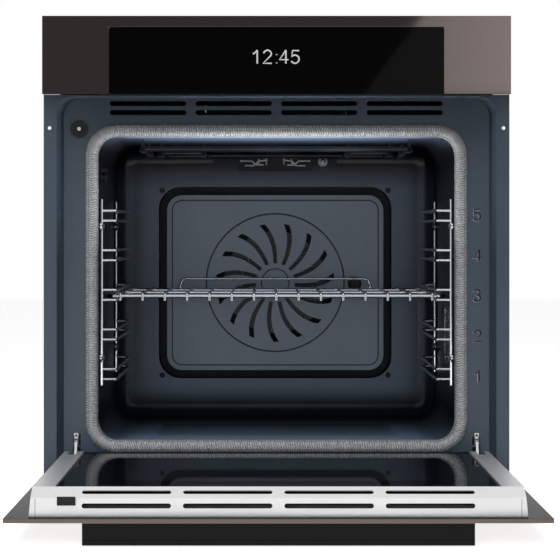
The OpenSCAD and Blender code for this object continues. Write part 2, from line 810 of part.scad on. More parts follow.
module lamp_housing() {
  w = lamp_size[0] + 2 * lamp_rim;
  h = lamp_size[1] + 2 * lamp_rim;
  color(galvanised) difference() {
    union() {
      along_x(lamp_wall, lamp_depth) translate([lamp_y, lamp_z]) rrect(w, h, 10);
      along_x(lamp_wall, casing_t) translate([lamp_y, lamp_z]) rrect(w + 8, h + 8, 10);
    }
    along_x(lamp_wall - 1, lamp_depth) translate([lamp_y, lamp_z]) rrect(w - 3, h - 3, 8.5);
    bore_y(lamp_wall + 13, lamp_z, 16, lamp_y + w / 2 - 4, lamp_y + w / 2 + 1);
  }
}

module lamp_bulb() {
  x = lamp_wall + 13;
  y0 = lamp_y + lamp_size[0] / 2 + lamp_rim;
  color("#f4f1e4") translate([x, y0, lamp_z]) rotate([90, 0, 0]) rotate_extrude()
    polygon([[0, -10], [7.8, -10], [7.8, 10], [5, 12], [5, 14], [6.5, 20], [6.5, 38], [4, 44], [0, 46]]);
}

module lamp_lens() {
  gap = 0.4;
  lens_in = 3;
  color("#dfe6e8") difference() {
    union() {
      along_x(cavity_x - 1, lens_in) translate([lamp_y, lamp_z])
        rrect(lamp_size[0] - 2 * gap, lamp_size[1] - 2 * gap, 8 - gap);
      along_x(lamp_wall, 2.5) translate([lamp_y, lamp_z])
        rrect(lamp_size[0] + lamp_rim, lamp_size[1] + lamp_rim, 8);
    }
    // prism ribs on the lamp side
    for (i = [-4 : 4]) bore_y(lamp_wall + 2.5, lamp_z + i * 8, 2.4, lamp_y - 32, lamp_y + 32);
  }
}

probe_cap_r = 7;

module probe_socket() {
  neck = 5;
  color(galvanised) difference() {
    union() {
      bore_x(probe_y, probe_z, probe_d, -cavity_x - 24, -cavity_x + neck);
      bore_x(probe_y, probe_z, probe_d + 6, -cavity_x, -cavity_x + 1.5);
      bore_x(probe_y, probe_z, probe_d + 6, -cavity_x - enamel_t - 4, -cavity_x - enamel_t);
      hinge_ears();
    }
    bore_x(probe_y, probe_z, 6.2, -cavity_x - 18, -cavity_x + neck + 1);
    bore_y(cap_pin[0], cap_pin[1], cap_pin_d + 0.5, probe_y - 10, probe_y + 10);
  }
}

cap_pin_d = 1.5;
cap_pin = [-cavity_x + 7.6, probe_z + probe_d / 2 + 2.4];

// Two ears that carry the cap's pin
module hinge_ears() {
  for (s = [-1, 1]) along_y(probe_y + s * 4.6 - 0.6, 1.2) polygon([
    [-cavity_x + 0.5, cap_pin[1] - 3.6], [-cavity_x + 0.5, cap_pin[1] + 2], [cap_pin[0] + 1, cap_pin[1] + 2],
    [cap_pin[0] + 1.8, cap_pin[1]], [cap_pin[0] + 1, cap_pin[1] - 1.6]]);
}

module probe_cap() {
  lid_x = -cavity_x + 5.4;
  lid_t = 2.4;
  color(black) difference() {
    union() {
      bore_x(probe_y, probe_z, 2 * probe_cap_r, lid_x, lid_x + lid_t);
      bore_y(cap_pin[0], cap_pin[1], 3, probe_y - 3.7, probe_y + 3.7);
      block([lid_x, probe_y - 3.7, probe_z], [lid_x + lid_t, probe_y + 3.7, cap_pin[1]]);
    }
    bore_y(cap_pin[0], cap_pin[1], 1, probe_y - 10, probe_y + 10);
  }
  color(chrome) bore_y(cap_pin[0], cap_pin[1], cap_pin_d, probe_y - 5.2, probe_y + 5.2);
}

// ---- side racks and wire shelf ----

rack_post = rack_wire + 1;
rack_x = cavity_x - 1 - rack_post / 2;
guide_x = rack_x - 19.6;
rack_front = 33;
rack_rear = rack_front + 307;
guide_gap = 13;
top_level_z = level_z + 4 * level_pitch;
rack_top = top_level_z + 27.8;
rack_low = level_z - 7.4;
stud_low_z = level_z + 27.6;
stud_high_z = top_level_z - 7.2;
rack_stud_places = [for (y = [rack_front, rack_rear], z = [stud_low_z, stud_high_z]) [y, z]];

// One guide wire: in from the front post, back along the cavity, out to the rear post
module guide_wire(z) {
  r = 6;
  difference() {
    union() {
      rod([rack_x, rack_front, z], [guide_x + r, rack_front, z], rack_wire);
      bend([guide_x + r, rack_front + r, z], r, 180, rack_wire);
      rod([guide_x, rack_front + r, z], [guide_x, rack_rear - r, z], rack_wire);
      bend([guide_x + r, rack_rear - r, z], r, 90, rack_wire);
      rod([guide_x + r, rack_rear, z], [rack_x, rack_rear, z], rack_wire);
    }
    for (y = [rack_front, rack_rear]) rod([rack_x, y, z - 5], [rack_x, y, z + 5], rack_post);
  }
}

// Welded rack: two posts with eyes for the studs, and five pairs of guide wires
module side_rack() {
  eye_d = stud_d + 0.2;
  color(chrome) {
    for (n = [0 : 4], k = [0, 1]) guide_wire(level_z + n * level_pitch + k * guide_gap);
    difference() {
      union() {
        for (y = [rack_front, rack_rear]) rod([rack_x, y, rack_low], [rack_x, y, rack_top], rack_post);
        for (p = rack_stud_places) bore_x(p[0], p[1], 12, rack_x - 1.2, rack_x + 1.2);
      }
      for (p = rack_stud_places) bore_x(p[0], p[1], eye_d, rack_x - 5, rack_x + 5);
    }
  }
}

module side_rack_left() mirror([1, 0, 0]) side_rack();
module side_rack_right() side_rack();

module rack_studs() {
  color(chrome) both() for (p = rack_stud_places) {
    bore_x(p[0], p[1], stud_d - 0.1, rack_x - rack_post / 2 - 1, cavity_x + enamel_t + 3);
    bore_x(p[0], p[1], stud_head[0], rack_x - rack_post / 2 - stud_head[1], rack_x - rack_post / 2);
  }
}

shelf_z = level_z + (shelf_level - 1) * level_pitch + rack_wire / 2 + 0.3 + shelf_rail / 2;
shelf_half = guide_x + 11;
shelf_front = 48;
shelf_rear = 376;
shelf_drop = 6;
shelf_cross = (shelf_front + shelf_rear) / 2 + 17;
bar_gap = 0.3;
bar_pitch = 2 * (guide_x - rack_wire / 2 - bar_gap - shelf_bar / 2) / (shelf_bars - 1);

module wire_shelf() {
  stop_w = 271;
  stop_h = 16;
  stop_r = 9;
  r = 8;
  color(chrome) {
    // side wires that run in the guides, and the cross rails
    both() {
      rod([shelf_half, shelf_front + r, shelf_z], [shelf_half, shelf_rear - r, shelf_z], shelf_rail);
      bend([shelf_half - r, shelf_front + r, shelf_z], r, 270, shelf_rail);
      bend([shelf_half - r, shelf_rear - r, shelf_z], r, 0, shelf_rail);
      rod([0, shelf_front, shelf_z], [shelf_half - r, shelf_front, shelf_z], shelf_rail);
      rod([0, shelf_rear, shelf_z], [shelf_half - r, shelf_rear, shelf_z], shelf_rail);
    }
    rod([-shelf_half, shelf_cross, shelf_z], [shelf_half, shelf_cross, shelf_z], shelf_rail);
    for (i = [0 : shelf_bars - 1]) shelf_bar_wire((i - (shelf_bars - 1) / 2) * bar_pitch);
    // rear stop that keeps dishes off the back wall
    both() {
      rod([stop_w / 2, shelf_rear, shelf_z], [stop_w / 2, shelf_rear, shelf_z + stop_h - stop_r], shelf_bar);
      translate([stop_w / 2 - stop_r, shelf_rear, shelf_z + stop_h - stop_r]) rotate([90, 0, 0])
        rotate_extrude(angle = 90) translate([stop_r, 0]) circle(d = shelf_bar);
    }
    rod([stop_r - stop_w / 2, shelf_rear, shelf_z + stop_h], [stop_w / 2 - stop_r, shelf_rear,
      shelf_z + stop_h], shelf_bar);
  }
}

// One bar wire: along the shelf, bent down over the front rail
module shelf_bar_wire(x) {
  z = shelf_z + (shelf_rail + shelf_bar) / 2 - 0.6;
  r = shelf_bar;
  front = shelf_front - shelf_rail / 2 - shelf_bar / 2 + 0.6;
  rod([x, front + r, z], [x, shelf_rear, z], shelf_bar);
  translate([x, front + r, z - r]) rotate([0, 90, 0]) rotate([0, 0, 180]) rotate_extrude(angle = 90)
    translate([r, 0]) circle(d = shelf_bar);
  rod([x, front, z - r - shelf_drop], [x, front, z - r], shelf_bar);
}

// ---- control panel ----

fascia_low = front_h - fascia_h;
fascia_mid = front_h - fascia_h / 2;
display_z = fascia_low + display_h / 2;
display_gap = 0.2;

module control_fascia() {
  return_t = 2;
  color("#2f2b2c") {
    difference() {
      along_y(front_y, fascia_t) translate([0, fascia_mid]) square([front_w, fascia_h], center = true);
      along_y(front_y - 1, fascia_t + 2) translate([0, display_z - 1])
        square([display_w + 2 * display_gap, display_h + 2 * display_gap + 2], center = true);
    }
    // returned edges that rest on the cabinet front
    both() block([front_w / 2 - return_t, front_y + fascia_t - eps, fascia_low], [front_w / 2, 0, front_h]);
    block([-front_w / 2, front_y + fascia_t - eps, front_h - return_t], [front_w / 2, 0, front_h]);
    both() block([display_w / 2 + 12, front_y + fascia_t - eps, fascia_low], [front_w / 2, bracket_y,
      fascia_low + return_t]);
  }
}

module touch_display() {
  color("#050505") along_y(front_y, fascia_t) translate([0, display_z])
    square([display_w, display_h], center = true);
}

board_y = front_y + fascia_t + 10;

module display_carrier() {
  depth = 18;
  wall = 2;
  w = display_w + 20;
  color(black) difference() {
    along_y(front_y + fascia_t, depth) translate([0, display_z + 1]) square([w, display_h - 6], center = true);
    along_y(front_y + fascia_t - 1, depth + 1 - wall) translate([0, display_z + 1])
      square([w - 2 * wall - 20, display_h - 6 - 2 * wall], center = true);
    along_y(front_y, 60) translate([0, display_z + 1]) slot_rows(5, 1, 60, 1, 34, 8);
  }
  color("#1f5c3a") along_y(board_y, 1.6) translate([0, display_z + 1])
    square([w - 2 * wall - 20, display_h - 6 - 2 * wall], center = true);
  color(black) both() block([w / 2 - 8, front_y + fascia_t + depth - eps, display_z - 10],
    [w / 2, bracket_y, display_z + 10]);
}

deck_z = cavity_floor + cavity_h + enamel_t + 3.5 + wool_t;

module power_board() {
  at = [23 - casing_x, casing_depth - 282];
  size = [150, 190];
  color(black) difference() {
    block([at[0], at[1], deck_z], [at[0] + size[0], at[1] + size[1], deck_z + 14]);
    block([at[0] + 2, at[1] + 2, deck_z + 2], [at[0] + size[0] - 2, at[1] + size[1] - 2, deck_z + 15]);
  }
  color("#1f5c3a") block([at[0] + 2, at[1] + 2, deck_z + 8], [at[0] + size[0] - 2, at[1] + size[1] - 2, deck_z + 9.6]);
  color("#2b4e86") for (i = [0 : 4]) block([at[0] + 14 + i * 26, at[1] + 20, deck_z + 9.6],
    [at[0] + 34 + i * 26, at[1] + 40, deck_z + 26]);
  color("#b0713a") block([at[0] + 20, at[1] + 90, deck_z + 9.6], [at[0] + 60, at[1] + 125, deck_z + 38]);
  color(black) for (i = [0 : 2]) translate([at[0] + 90 + i * 18, at[1] + 110, deck_z + 9.6])
    cylinder(h = 24, d = 13);
}

module door_switch() {
  bezel_d = 23.2;
  bezel_h = 2;
  body = 24;
  color(black) difference() {
    union() {
      bore_y(switch_x, switch_z, bezel_d, recess_y - bezel_h, recess_y);
      bore_y(switch_x, switch_z, switch_d - 0.4, recess_y - eps, face_back + 4);
      block([switch_x - 9, face_back, switch_z - 9], [switch_x + 9, face_back + body, switch_z + 9]);
    }
    bore_y(switch_x, switch_z, plunger_d + 0.12, recess_y - 10, face_back + 18);
    bore_y(switch_x, switch_z, 12, recess_y - 3, recess_y - 1);
  }
}

plunger_d = 5;
plunger_gap = 0.4;

module switch_plunger() {
  tip = door_back + plunger_gap;
  color("#e8e8e8") {
    bore_y(switch_x, switch_z, plunger_d, tip + 1, face_back + 12);
    translate([switch_x, tip + 1, switch_z]) rotate([90, 0, 0]) cylinder(h = 1, d1 = plunger_d, d2 = 3);
  }
}

// ---- cooling blower, air duct and terminal box ----

blower_y = 190;
blower_z = frame_top + 29;
rotor_d = 62;
rotor_l = 180;
drum_l = rotor_l + 8;
duct_low = frame_top - 27;
duct_top = frame_top - 3;
duct_w = 4 * vent_pitch + 10;
duct_end = blower_y - 46;

// Flat duct to the front slots, of flat sheets, closed at the rear beside the blower's mouth
module air_duct() {
  mouth_gap = 0.3;
  seam = 0.05;
  x = duct_w / 2;
  low = duct_low + casing_t + seam;
  high = duct_top - casing_t - seam;
  color(galvanised) {
    for (z = [duct_low, duct_top - casing_t]) block([-x, face_back, z], [x, duct_end - seam, z + casing_t]);
    both() {
      block([x - casing_t, face_back, low], [x, duct_end - seam, high]);
      block([drum_l / 2 + mouth_gap, duct_end, duct_low], [x, duct_end + casing_t, duct_top]);
    }
  }
}

module blower_housing() {
  end_y = duct_end;
  t = 1.2;
  len = drum_l;
  mouth_h = duct_top - duct_low;
  color(galvanised) {
    difference() {
      union() {
        along_x(-len / 2, len) translate([blower_y, blower_z]) circle(r = 40);
        along_x(-len / 2, len) polygon([[end_y, duct_low], [end_y, duct_top], [blower_y - 34, blower_z - 20],
          [blower_y - 40, blower_z], [blower_y, blower_z], [blower_y + 24, blower_z - 32],
          [blower_y + 16, duct_low]]);
      }
      along_x(t - len / 2, len - 2 * t) translate([blower_y, blower_z]) circle(r = 40 - t);
      along_x(t - len / 2, len - 2 * t) polygon([[end_y - 1, duct_low + t], [end_y - 1, duct_top - t],
        [blower_y - 34 + t, blower_z - 20], [blower_y, blower_z], [blower_y + 24 - t, blower_z - 32],
        [blower_y + 16 - t, duct_low + t]]);
      // air inlet along the top and rear of the drum
      along_x(8 - len / 2, len - 16) translate([blower_y, blower_z]) polygon([[0, 20], [60, 20], [60, 60], [0, 60]]);
      bore_x(blower_y, blower_z, 5.1, -len, len);
    }
    // feet on the duct level
    for (s = [-1, 1]) block([s * (len / 2 - 12) - 10, blower_y + 14, duct_low - eps],
      [s * (len / 2 - 12) + 10, blower_y + 50, duct_low + t]);
  }
}

module blower_rotor() {
  n = 24;
  disc_t = 1.5;
  blade_t = 0.9;
  color("#8f969b") {
    for (x = [-rotor_l / 2, 0, rotor_l / 2 - disc_t]) along_x(x, disc_t) translate([blower_y, blower_z])
      circle(d = rotor_d);
    along_x(-rotor_l / 2, rotor_l) translate([blower_y, blower_z]) for (i = [0 : n - 1])
      rotate(360 / n * i) translate([rotor_d / 2 - 5, 0]) rotate(30) square([8, blade_t], center = true);
    bore_x(blower_y, blower_z, 5, -rotor_l / 2 - 12, rotor_l / 2 + 34);
  }
}

module blower_motor() {
  x0 = rotor_l / 2 + 4 + 2;
  color("#7c5a3a") difference() {
    along_x(x0 + 4, 18) translate([blower_y, blower_z - 2]) square([54, 50], center = true);
    bore_x(blower_y, blower_z, 22, x0, x0 + 40);
  }
  color(galvanised) {
    difference() {
      for (x = [x0 - 2, x0 + 24]) along_x(x, 2) translate([blower_y, blower_z]) square([46, 16], center = true);
      bore_x(blower_y, blower_z, 5.1, x0 - 4, x0 + 40);
    }
    for (s = [-1, 1]) block([x0 - 2, blower_y + s * 21 - 2, blower_z - 8], [x0 + 26, blower_y + s * 21 + 2,
      blower_z + 8]);
  }
}

module terminal_box() {
  y1 = rear_y + casing_t;
  s = terminal_box_size;
  color(black) difference() {
    along_y(y1 - s[1], s[1]) translate([terminal_x, terminal_z]) square([s[0], s[2]], center = true);
    along_y(y1 - s[1] + 2, s[1]) translate([terminal_x, terminal_z]) square([s[0] - 4, s[2] - 4], center = true);
    translate([terminal_x, y1 - 14, terminal_z - s[2] / 2 - 1]) cylinder(h = 6, d = 12);
  }
  color("#e8e4da") difference() {
    along_y(y1 - s[1] + 2, 16) translate([terminal_x, terminal_z]) square([60, 24], center = true);
    for (i = [-2 : 2]) bore_y(terminal_x + i * 11, terminal_z, 5, y1 - s[1] + 8, y1);
  }
  color("#b08d57") for (i = [-2 : 2]) bore_y(terminal_x + i * 11, terminal_z, 4.6, y1 - s[1] + 8, y1 - s[1] + 16);
}

// ---- door hinges ----

arm_t = 3;
pin_d = 5;
run_gap = 0.1;
boss_r = pivot_y - glass_back - 0.4;
latch_pin = [13, 49];
latch_pin_d = 3;
catch_y = face_back + 14;
catch_z = 43.5;
catch_d = 6;

// Side outline of the hinge arm, from its boss through the frame's slot to its claw
module arm_outline() {
  bend_r = 7;
  knee = [4, 34];
  shoulder = [latch_pin[0], latch_pin[1] - 2];
  top = latch_pin[1] + 5;
  corner = 3;
  low = catch_z - 5;
  claw_w = catch_d + 0.2;
  difference() {
    union() {
      translate([pivot_y, pivot_z]) circle(r = boss_r);
      hull() {
        translate([pivot_y, pivot_z]) circle(r = boss_r - 0.2, $fn = 32);
        translate(knee) circle(r = bend_r, $fn = 32);
      }
      hull() {
        translate(knee) circle(r = bend_r, $fn = 32);
        translate(shoulder) circle(r = bend_r, $fn = 32);
      }
      polygon([[latch_pin[0] - 5, low + 2.5], [latch_pin[0] - 5, top - corner],
        [latch_pin[0] - 5 + corner, top], [catch_y + 10, top],
        [catch_y + 14, top - 4], [catch_y + 14, low], [recess_y + 3, low], [recess_y - 2, low + 2.5]]);
    }
    translate([pivot_y, pivot_z]) circle(d = pin_d + run_gap);
    translate(latch_pin) circle(d = latch_pin_d + run_gap);
    translate([catch_y, catch_z]) circle(d = claw_w);
    translate([catch_y - claw_w / 2, catch_z - 10]) square([claw_w, 10]);
  }
}

module hinge_arm() along_x(hinge_x - arm_t / 2, arm_t) arm_outline();

module hinge_arms() color(galvanised) both() hinge_arm();

module hinge_receiver() {
  inner = 4.8;
  t = 1.4;
  outer = inner + t;
  tab = [8, 14];
  y1 = catch_y + 20;
  z0 = 33;
  z1 = 66;
  color(galvanised) {
    for (x = [-outer, inner]) block([hinge_x + x, face_back, z0], [hinge_x + x + t, y1, z1]);
    block([hinge_x - outer, y1, z0], [hinge_x + outer, y1 + t, z1]);
    block([hinge_x - outer, face_back, z1 - eps], [hinge_x + outer, y1 + t, z1 + t]);
    block([hinge_x - tab[0], face_back, z1], [hinge_x + tab[0], face_back + t, z1 + tab[1]]);
    bore_x(catch_y, catch_z, catch_d, hinge_x - outer, hinge_x + outer);
  }
}

module hinge_receivers() both() hinge_receiver();

// Saddle that flips forward over the arm to hold the spring when the door comes off
module hinge_latch() {
  cheek_t = 1;
  cheek_r = 3.4;
  gap = 0.25;
  bridge_t = 1.8;
  bridge = [6.4, 14];
  y0 = latch_pin[0] - 1.4;
  x0 = hinge_x - arm_t / 2 - gap;
  x1 = hinge_x + arm_t / 2 + gap;
  color(galvanised) {
    for (x = [x0 - cheek_t, x1]) along_x(x, cheek_t) translate(latch_pin) difference() {
      union() {
        circle(r = cheek_r);
        polygon([[-cheek_r, 0], [y0 - latch_pin[0], 9.6], [cheek_r, 9.6], [cheek_r, 0]]);
      }
      circle(d = latch_pin_d);
    }
    difference() {
      block([x0 - cheek_t, y0, latch_pin[1] + bridge[0]], [x1 + cheek_t, y0 + bridge_t, latch_pin[1] + bridge[1]]);
      bore_y(hinge_x, latch_pin[1] + 11, 3, y0 - 1, y0 + bridge_t + 1);
    }
    bore_x(latch_pin[0], latch_pin[1], latch_pin_d, x0 - cheek_t, x1 + cheek_t);
  }
}

module hinge_latch_left() mirror([1, 0, 0]) hinge_latch();
module hinge_latch_right() hinge_latch();

// ---- door, built upright in its closed place and then lowered about the hinge pins ----

module opened() {
  translate([0, pivot_y, pivot_z]) rotate([90, 0, 0]) translate([0, -pivot_y, -pivot_z]) children();
}

rail_x1 = rails_w / 2;
rail_x0 = rail_x1 - rail_w;
rail_low = door_gap + 25.4;
rail_top = door_gap + door_h - 28.6;
bar_top = door_gap + door_h - 14.6;
bar_bevel = 11;

module door_outer_glass() {
  color("#0b0b0c") opened() along_y(front_y, glass_t) translate([0, door_gap + door_h / 2])
    square([front_w, door_h], center = true);
}

module door_rail() {
  notch_x = hinge_slot[0] / 2;
  notch_z = 84;
  color("#e6e6e6") difference() {
    block([rail_x0, glass_back, rail_low], [rail_x1, door_back, rail_top]);
    block([rail_x0 + rail_t, glass_back - 1, rail_low - 1], [rail_x1 - rail_t, door_back - rail_t, rail_top + 1]);
    block([hinge_x - notch_x, glass_back, rail_low - 1], [hinge_x + notch_x, door_back + 1, notch_z]);
  }
}

module door_rails() opened() both() door_rail();

module door_top_bar() {
  inset = 3;
  slot_l = 97;
  slot_h = 5.4;
  top_slot_y = glass_back + 12.2;
  bevel_mid = [(door_back + door_back - bar_bevel) / 2, (bar_top + rail_top) / 2];
  bevel_a = atan2(bar_top - rail_top, bar_bevel);
  w = rails_w + 2 * inset;
  color("#dedede") opened() difference() {
    intersection() {
      difference() {
        along_x(-w / 2, w) polygon([[glass_back, rail_top], [glass_back, bar_top],
          [door_back - bar_bevel, bar_top], [door_back, rail_top]]);
        along_x(rail_t - w / 2, w - 2 * rail_t) polygon([[glass_back - 1, rail_top - 1],
          [glass_back - 1, bar_top - rail_t], [door_back - bar_bevel - 0.6, bar_top - rail_t],
          [door_back - rail_t - 0.4, rail_top - 1]]);
      }
      linear_extrude(front_h) polygon([[-w / 2, glass_back], [w / 2, glass_back], [rail_x1, door_back],
        [-rail_x1, door_back]]);
    }
    translate([0, top_slot_y, bar_top - 4]) linear_extrude(6) slot_rows(4, 1, vent_pitch, 1, slot_l, slot_h);
    translate([0, bevel_mid[0], bevel_mid[1]]) rotate([-bevel_a, 0, 0])
      translate([0, 0, -3]) linear_extrude(6) slot_rows(4, 1, vent_pitch, 1, slot_l, slot_h);
  }
}

module door_bottom_bar() {
  inner_w = rails_w - 2 * rail_w - 0.6;
  color(black) opened() {
    difference() {
      block([-inner_w / 2, glass_back, rail_low], [inner_w / 2, inner_face_y - pane_t - 0.4, rail_low + 14]);
      block([-inner_w / 2 - 1, glass_back + 1.5, rail_low + 1.5], [inner_w / 2 + 1, inner_face_y, rail_low + 20]);
    }
    block([-inner_w / 2, inner_face_y - pane_t - 2, rail_low], [inner_w / 2, inner_face_y - pane_t - 0.4,
      rail_low + 14]);
    block([-inner_w / 2, inner_face_y - pane_t - 2, rail_low], [inner_w / 2, inner_face_y + 1, rail_low + 2]);
  }
}

pane_edge = 0.3;
pane_low = rail_low + 2.3;
pane_top = rail_top - 1;

module door_inner_glass() {
  w = rails_w - 2 * rail_w - 2 * pane_edge;
  color("#0d0e10") opened() along_y(inner_face_y - pane_t, pane_t)
    translate([0, (pane_low + pane_top) / 2]) square([w, pane_top - pane_low], center = true);
}

middle_y = [glass_back + 8, glass_back + 17];

module door_middle_panes() {
  w = rails_w - 2 * rail_w - 10;
  color("#b9c4c4") opened() for (y = middle_y) along_y(y, pane_t - 1)
    translate([0, (pane_low + pane_top) / 2 + 8]) square([w, pane_top - pane_low - 20], center = true);
}

module pane_holders() {
  holder_w = 12;
  x1 = rails_w / 2 - rail_w;
  color(black) opened() both() difference() {
    block([x1 - holder_w, glass_back, pane_low + 20], [x1, inner_face_y - pane_t, pane_top - 8]);
    for (y = middle_y) block([0, y - 0.2, 0], [x1 - 5 + 0.2, y + pane_t - 0.8, front_h]);
  }
}

module door_hinge() {
  t = 1.4;
  gap = 0.3;
  plate_top = 205;
  color(galvanised) {
    for (x = [hinge_x - arm_t / 2 - gap - t, hinge_x + arm_t / 2 + gap]) along_x(x, t) {
      translate([pivot_y, pivot_z]) circle(r = boss_r);
      translate([glass_back + 0.1, pivot_z]) square([2 * boss_r, plate_top - pivot_z]);
    }
    bore_x(pivot_y, pivot_z, pin_d, hinge_x - arm_t / 2 - gap - t, hinge_x + arm_t / 2 + gap + t);
    // web behind the arm's travel, and the lug that holds the spring
    block([hinge_x - arm_t / 2 - gap - eps, glass_back + 0.1, 100], [hinge_x + arm_t / 2 + gap + eps,
      glass_back + 1.5, plate_top]);
    block([hinge_x - 7, glass_back + 0.1, plate_top - eps], [hinge_x + 7, glass_back + 11, plate_top + 3]);
  }
}

module door_hinges() opened() both() door_hinge();

module hinge_springs() {
  coil_r = 4;
  wire = 2.4;
  turns = 28;
  pitch = wire * 0.94;
  y = glass_back + 6.5;
  z0 = 208;
  color("#6d7276") opened() both() translate([hinge_x, y, z0]) rotate_extrude() {
    for (i = [0 : turns - 1]) translate([coil_r, wire / 2 + i * pitch]) circle(d = wire);
    translate([coil_r - wire / 2, wire / 2]) square([wire / 2, (turns - 1) * pitch]);
    translate([0, turns * pitch - wire / 2]) square([coil_r + wire / 2, 8]);
  }
}

module door_handle() {
  t = 3.5;
  lip_t = 4;
  grip_notch = 1;
  outer_y = front_y - handle_reach;
  top = door_gap + door_h;
  color(black) opened() difference() {
    along_x(-handle_w / 2, handle_w) polygon([[front_y, top - 26], [front_y, top], [outer_y, top],
      [outer_y, top - handle_lip], [outer_y + lip_t, top - handle_lip], [outer_y + lip_t, top - t],
      [front_y - t, top - t], [front_y - t, top - 26]]);
    along_x(-handle_w, 2 * handle_w) polygon([[outer_y + 5.3, top + 1], [outer_y + 5.8, top - grip_notch],
      [outer_y + 6.3, top + 1]]);
  }
}

module striker_block() {
  x = 38 - rails_w / 2;
  half_w = 10;
  height = 3.5;
  rim = 2;
  front = door_back - bar_bevel - 8;
  back = door_back - bar_bevel + 1.5;
  color(black) opened() difference() {
    block([x - half_w, front, bar_top], [x + half_w, back, bar_top + height]);
    block([x - half_w + rim, front + rim, bar_top + height - 1], [x + half_w - rim, back - rim,
      bar_top + height + 1]);
  }
}

base_panel();
side_panel_left();
side_panel_right();
rear_cover();
top_cover();
front_bracket();
front_frame();
cavity_wrap();
cavity_back_wall();
fan_chamber_pan();
insulation();
door_seal();
fan_cover();
fan_cover_screws();
fan_wheel();
fan_shaft();
fan_motor();
ring_heater();
grill_heater();
top_heater();
heater_flange();
heater_hangers();
bottom_heater();
temperature_sensor();
humidity_sensor();
lamp_housing();
lamp_bulb();
lamp_lens();
probe_socket();
probe_cap();
side_rack_left();
side_rack_right();
rack_studs();
wire_shelf();
control_fascia();
touch_display();
display_carrier();
power_board();
door_switch();
switch_plunger();
blower_housing();
blower_rotor();
blower_motor();
air_duct();
terminal_box();
hinge_receivers();
hinge_arms();
hinge_latch_left();
hinge_latch_right();
door_outer_glass();
door_middle_panes();
door_inner_glass();
pane_holders();
door_rails();
door_top_bar();
door_bottom_bar();
door_hinges();
hinge_springs();
door_handle();
striker_block();
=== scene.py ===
"""Looks of a built-in wall oven with its drop-down door open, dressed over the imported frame."""

import logging
import math
from collections.abc import Iterable, Sequence
from dataclasses import dataclass, replace
from enum import Enum
from typing import Any

import bmesh
import bpy
from bmesh.types import BMesh, BMVert
from bpy.types import GeometryNodeTree, Material, Mesh, Node, NodeSocket, NodeTree, Object
from mathutils import Matrix, Vector


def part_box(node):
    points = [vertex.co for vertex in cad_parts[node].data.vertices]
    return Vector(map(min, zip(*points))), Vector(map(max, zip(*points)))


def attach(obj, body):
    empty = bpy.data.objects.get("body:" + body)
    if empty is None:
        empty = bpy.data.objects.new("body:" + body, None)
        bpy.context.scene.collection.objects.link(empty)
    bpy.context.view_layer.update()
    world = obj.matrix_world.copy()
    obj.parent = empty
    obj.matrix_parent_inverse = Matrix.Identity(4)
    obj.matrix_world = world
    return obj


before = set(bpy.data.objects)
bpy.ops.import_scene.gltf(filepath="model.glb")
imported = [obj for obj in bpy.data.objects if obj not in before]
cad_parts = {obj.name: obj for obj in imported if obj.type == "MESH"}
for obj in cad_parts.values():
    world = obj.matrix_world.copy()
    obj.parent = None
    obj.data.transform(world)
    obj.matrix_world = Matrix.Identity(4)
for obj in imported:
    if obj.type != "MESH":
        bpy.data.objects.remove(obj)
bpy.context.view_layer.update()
LOG = logging.getLogger("wall_oven")
MM = 0.001
Point = tuple[float, float, float]


# ---- helpers for nodes, meshes and pieces ----


def linear(code: str, alpha: float = 1.0) -> tuple[float, float, float, float]:
    """Turns an sRGB hex code to linear light.

    Args:
        code: six hex digits after a hash.
        alpha: the fourth channel.

    Returns:
        Red, green, blue and alpha.
    """
    values = [int(code[i : i + 2], 16) / 255 for i in (1, 3, 5)]
    r, g, b = [v / 12.92 if v <= 0.04045 else ((v + 0.055) / 1.055) ** 2.4 for v in values]
    return r, g, b, alpha


def per_mm(size: float) -> float:
    """Returns the texture scale whose features are size millimetres wide."""
    return 1 / (size * MM)


def add_node(
    tree: NodeTree,
    kind: str,
    settings: dict[str, Any] | None = None,
    inputs: dict[str | int, Any] | None = None,
) -> Node:
    """Adds one node with its settings, values and links.

    Args:
        tree: the material's or the modifier's node tree.
        kind: the node's type name.
        settings: attributes of the node, by name.
        inputs: what goes into each socket, a value or the output socket to link from.

    Returns:
        The new node.
    """
    node = tree.nodes.new(kind)
    for name, value in (settings or {}).items():
        setattr(node, name, value)
    for key, value in (inputs or {}).items():
        if isinstance(value, NodeSocket):
            tree.links.new(value, node.inputs[key])
        else:
            node.inputs[key].default_value = value
    return node


def box_mm(node: str) -> tuple[Vector, Vector]:
    """Returns a CAD node's lowest and highest corner in millimetres."""
    low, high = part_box(node)
    return low / MM, high / MM


def mesh_object(name: str, bm: BMesh, material: Material) -> Object:
    """Turns a bmesh in millimetres into an object at the origin with its material.

    Args:
        name: the piece's name.
        bm: the mesh, which is freed.
        material: the finish's material.

    Returns:
        The new object, linked to the scene.
    """
    bmesh.ops.scale(bm, vec=(MM, MM, MM), verts=bm.verts)
    bmesh.ops.recalc_face_normals(bm, faces=bm.faces)
    mesh = bpy.data.meshes.new(name)
    bm.to_mesh(mesh)
    bm.free()
    mesh.materials.append(material)
    made = bpy.data.objects.new(name, mesh)
    bpy.context.scene.collection.objects.link(made)
    return made


def add_block(bm: BMesh, low: Point, high: Point) -> list[BMVert]:
    """Adds a box to a bmesh.

    Args:
        bm: the mesh to add to.
        low: the lowest corner.
        high: the highest corner.

    Returns:
        The box's vertices.
    """
    made = bmesh.ops.create_cube(bm, size=1)["verts"]
    size = [b - a for a, b in zip(low, high)]
    middle = [(a + b) / 2 for a, b in zip(low, high)]
    bmesh.ops.scale(bm, vec=size, verts=made)
    bmesh.ops.translate(bm, vec=middle, verts=made)
    return made


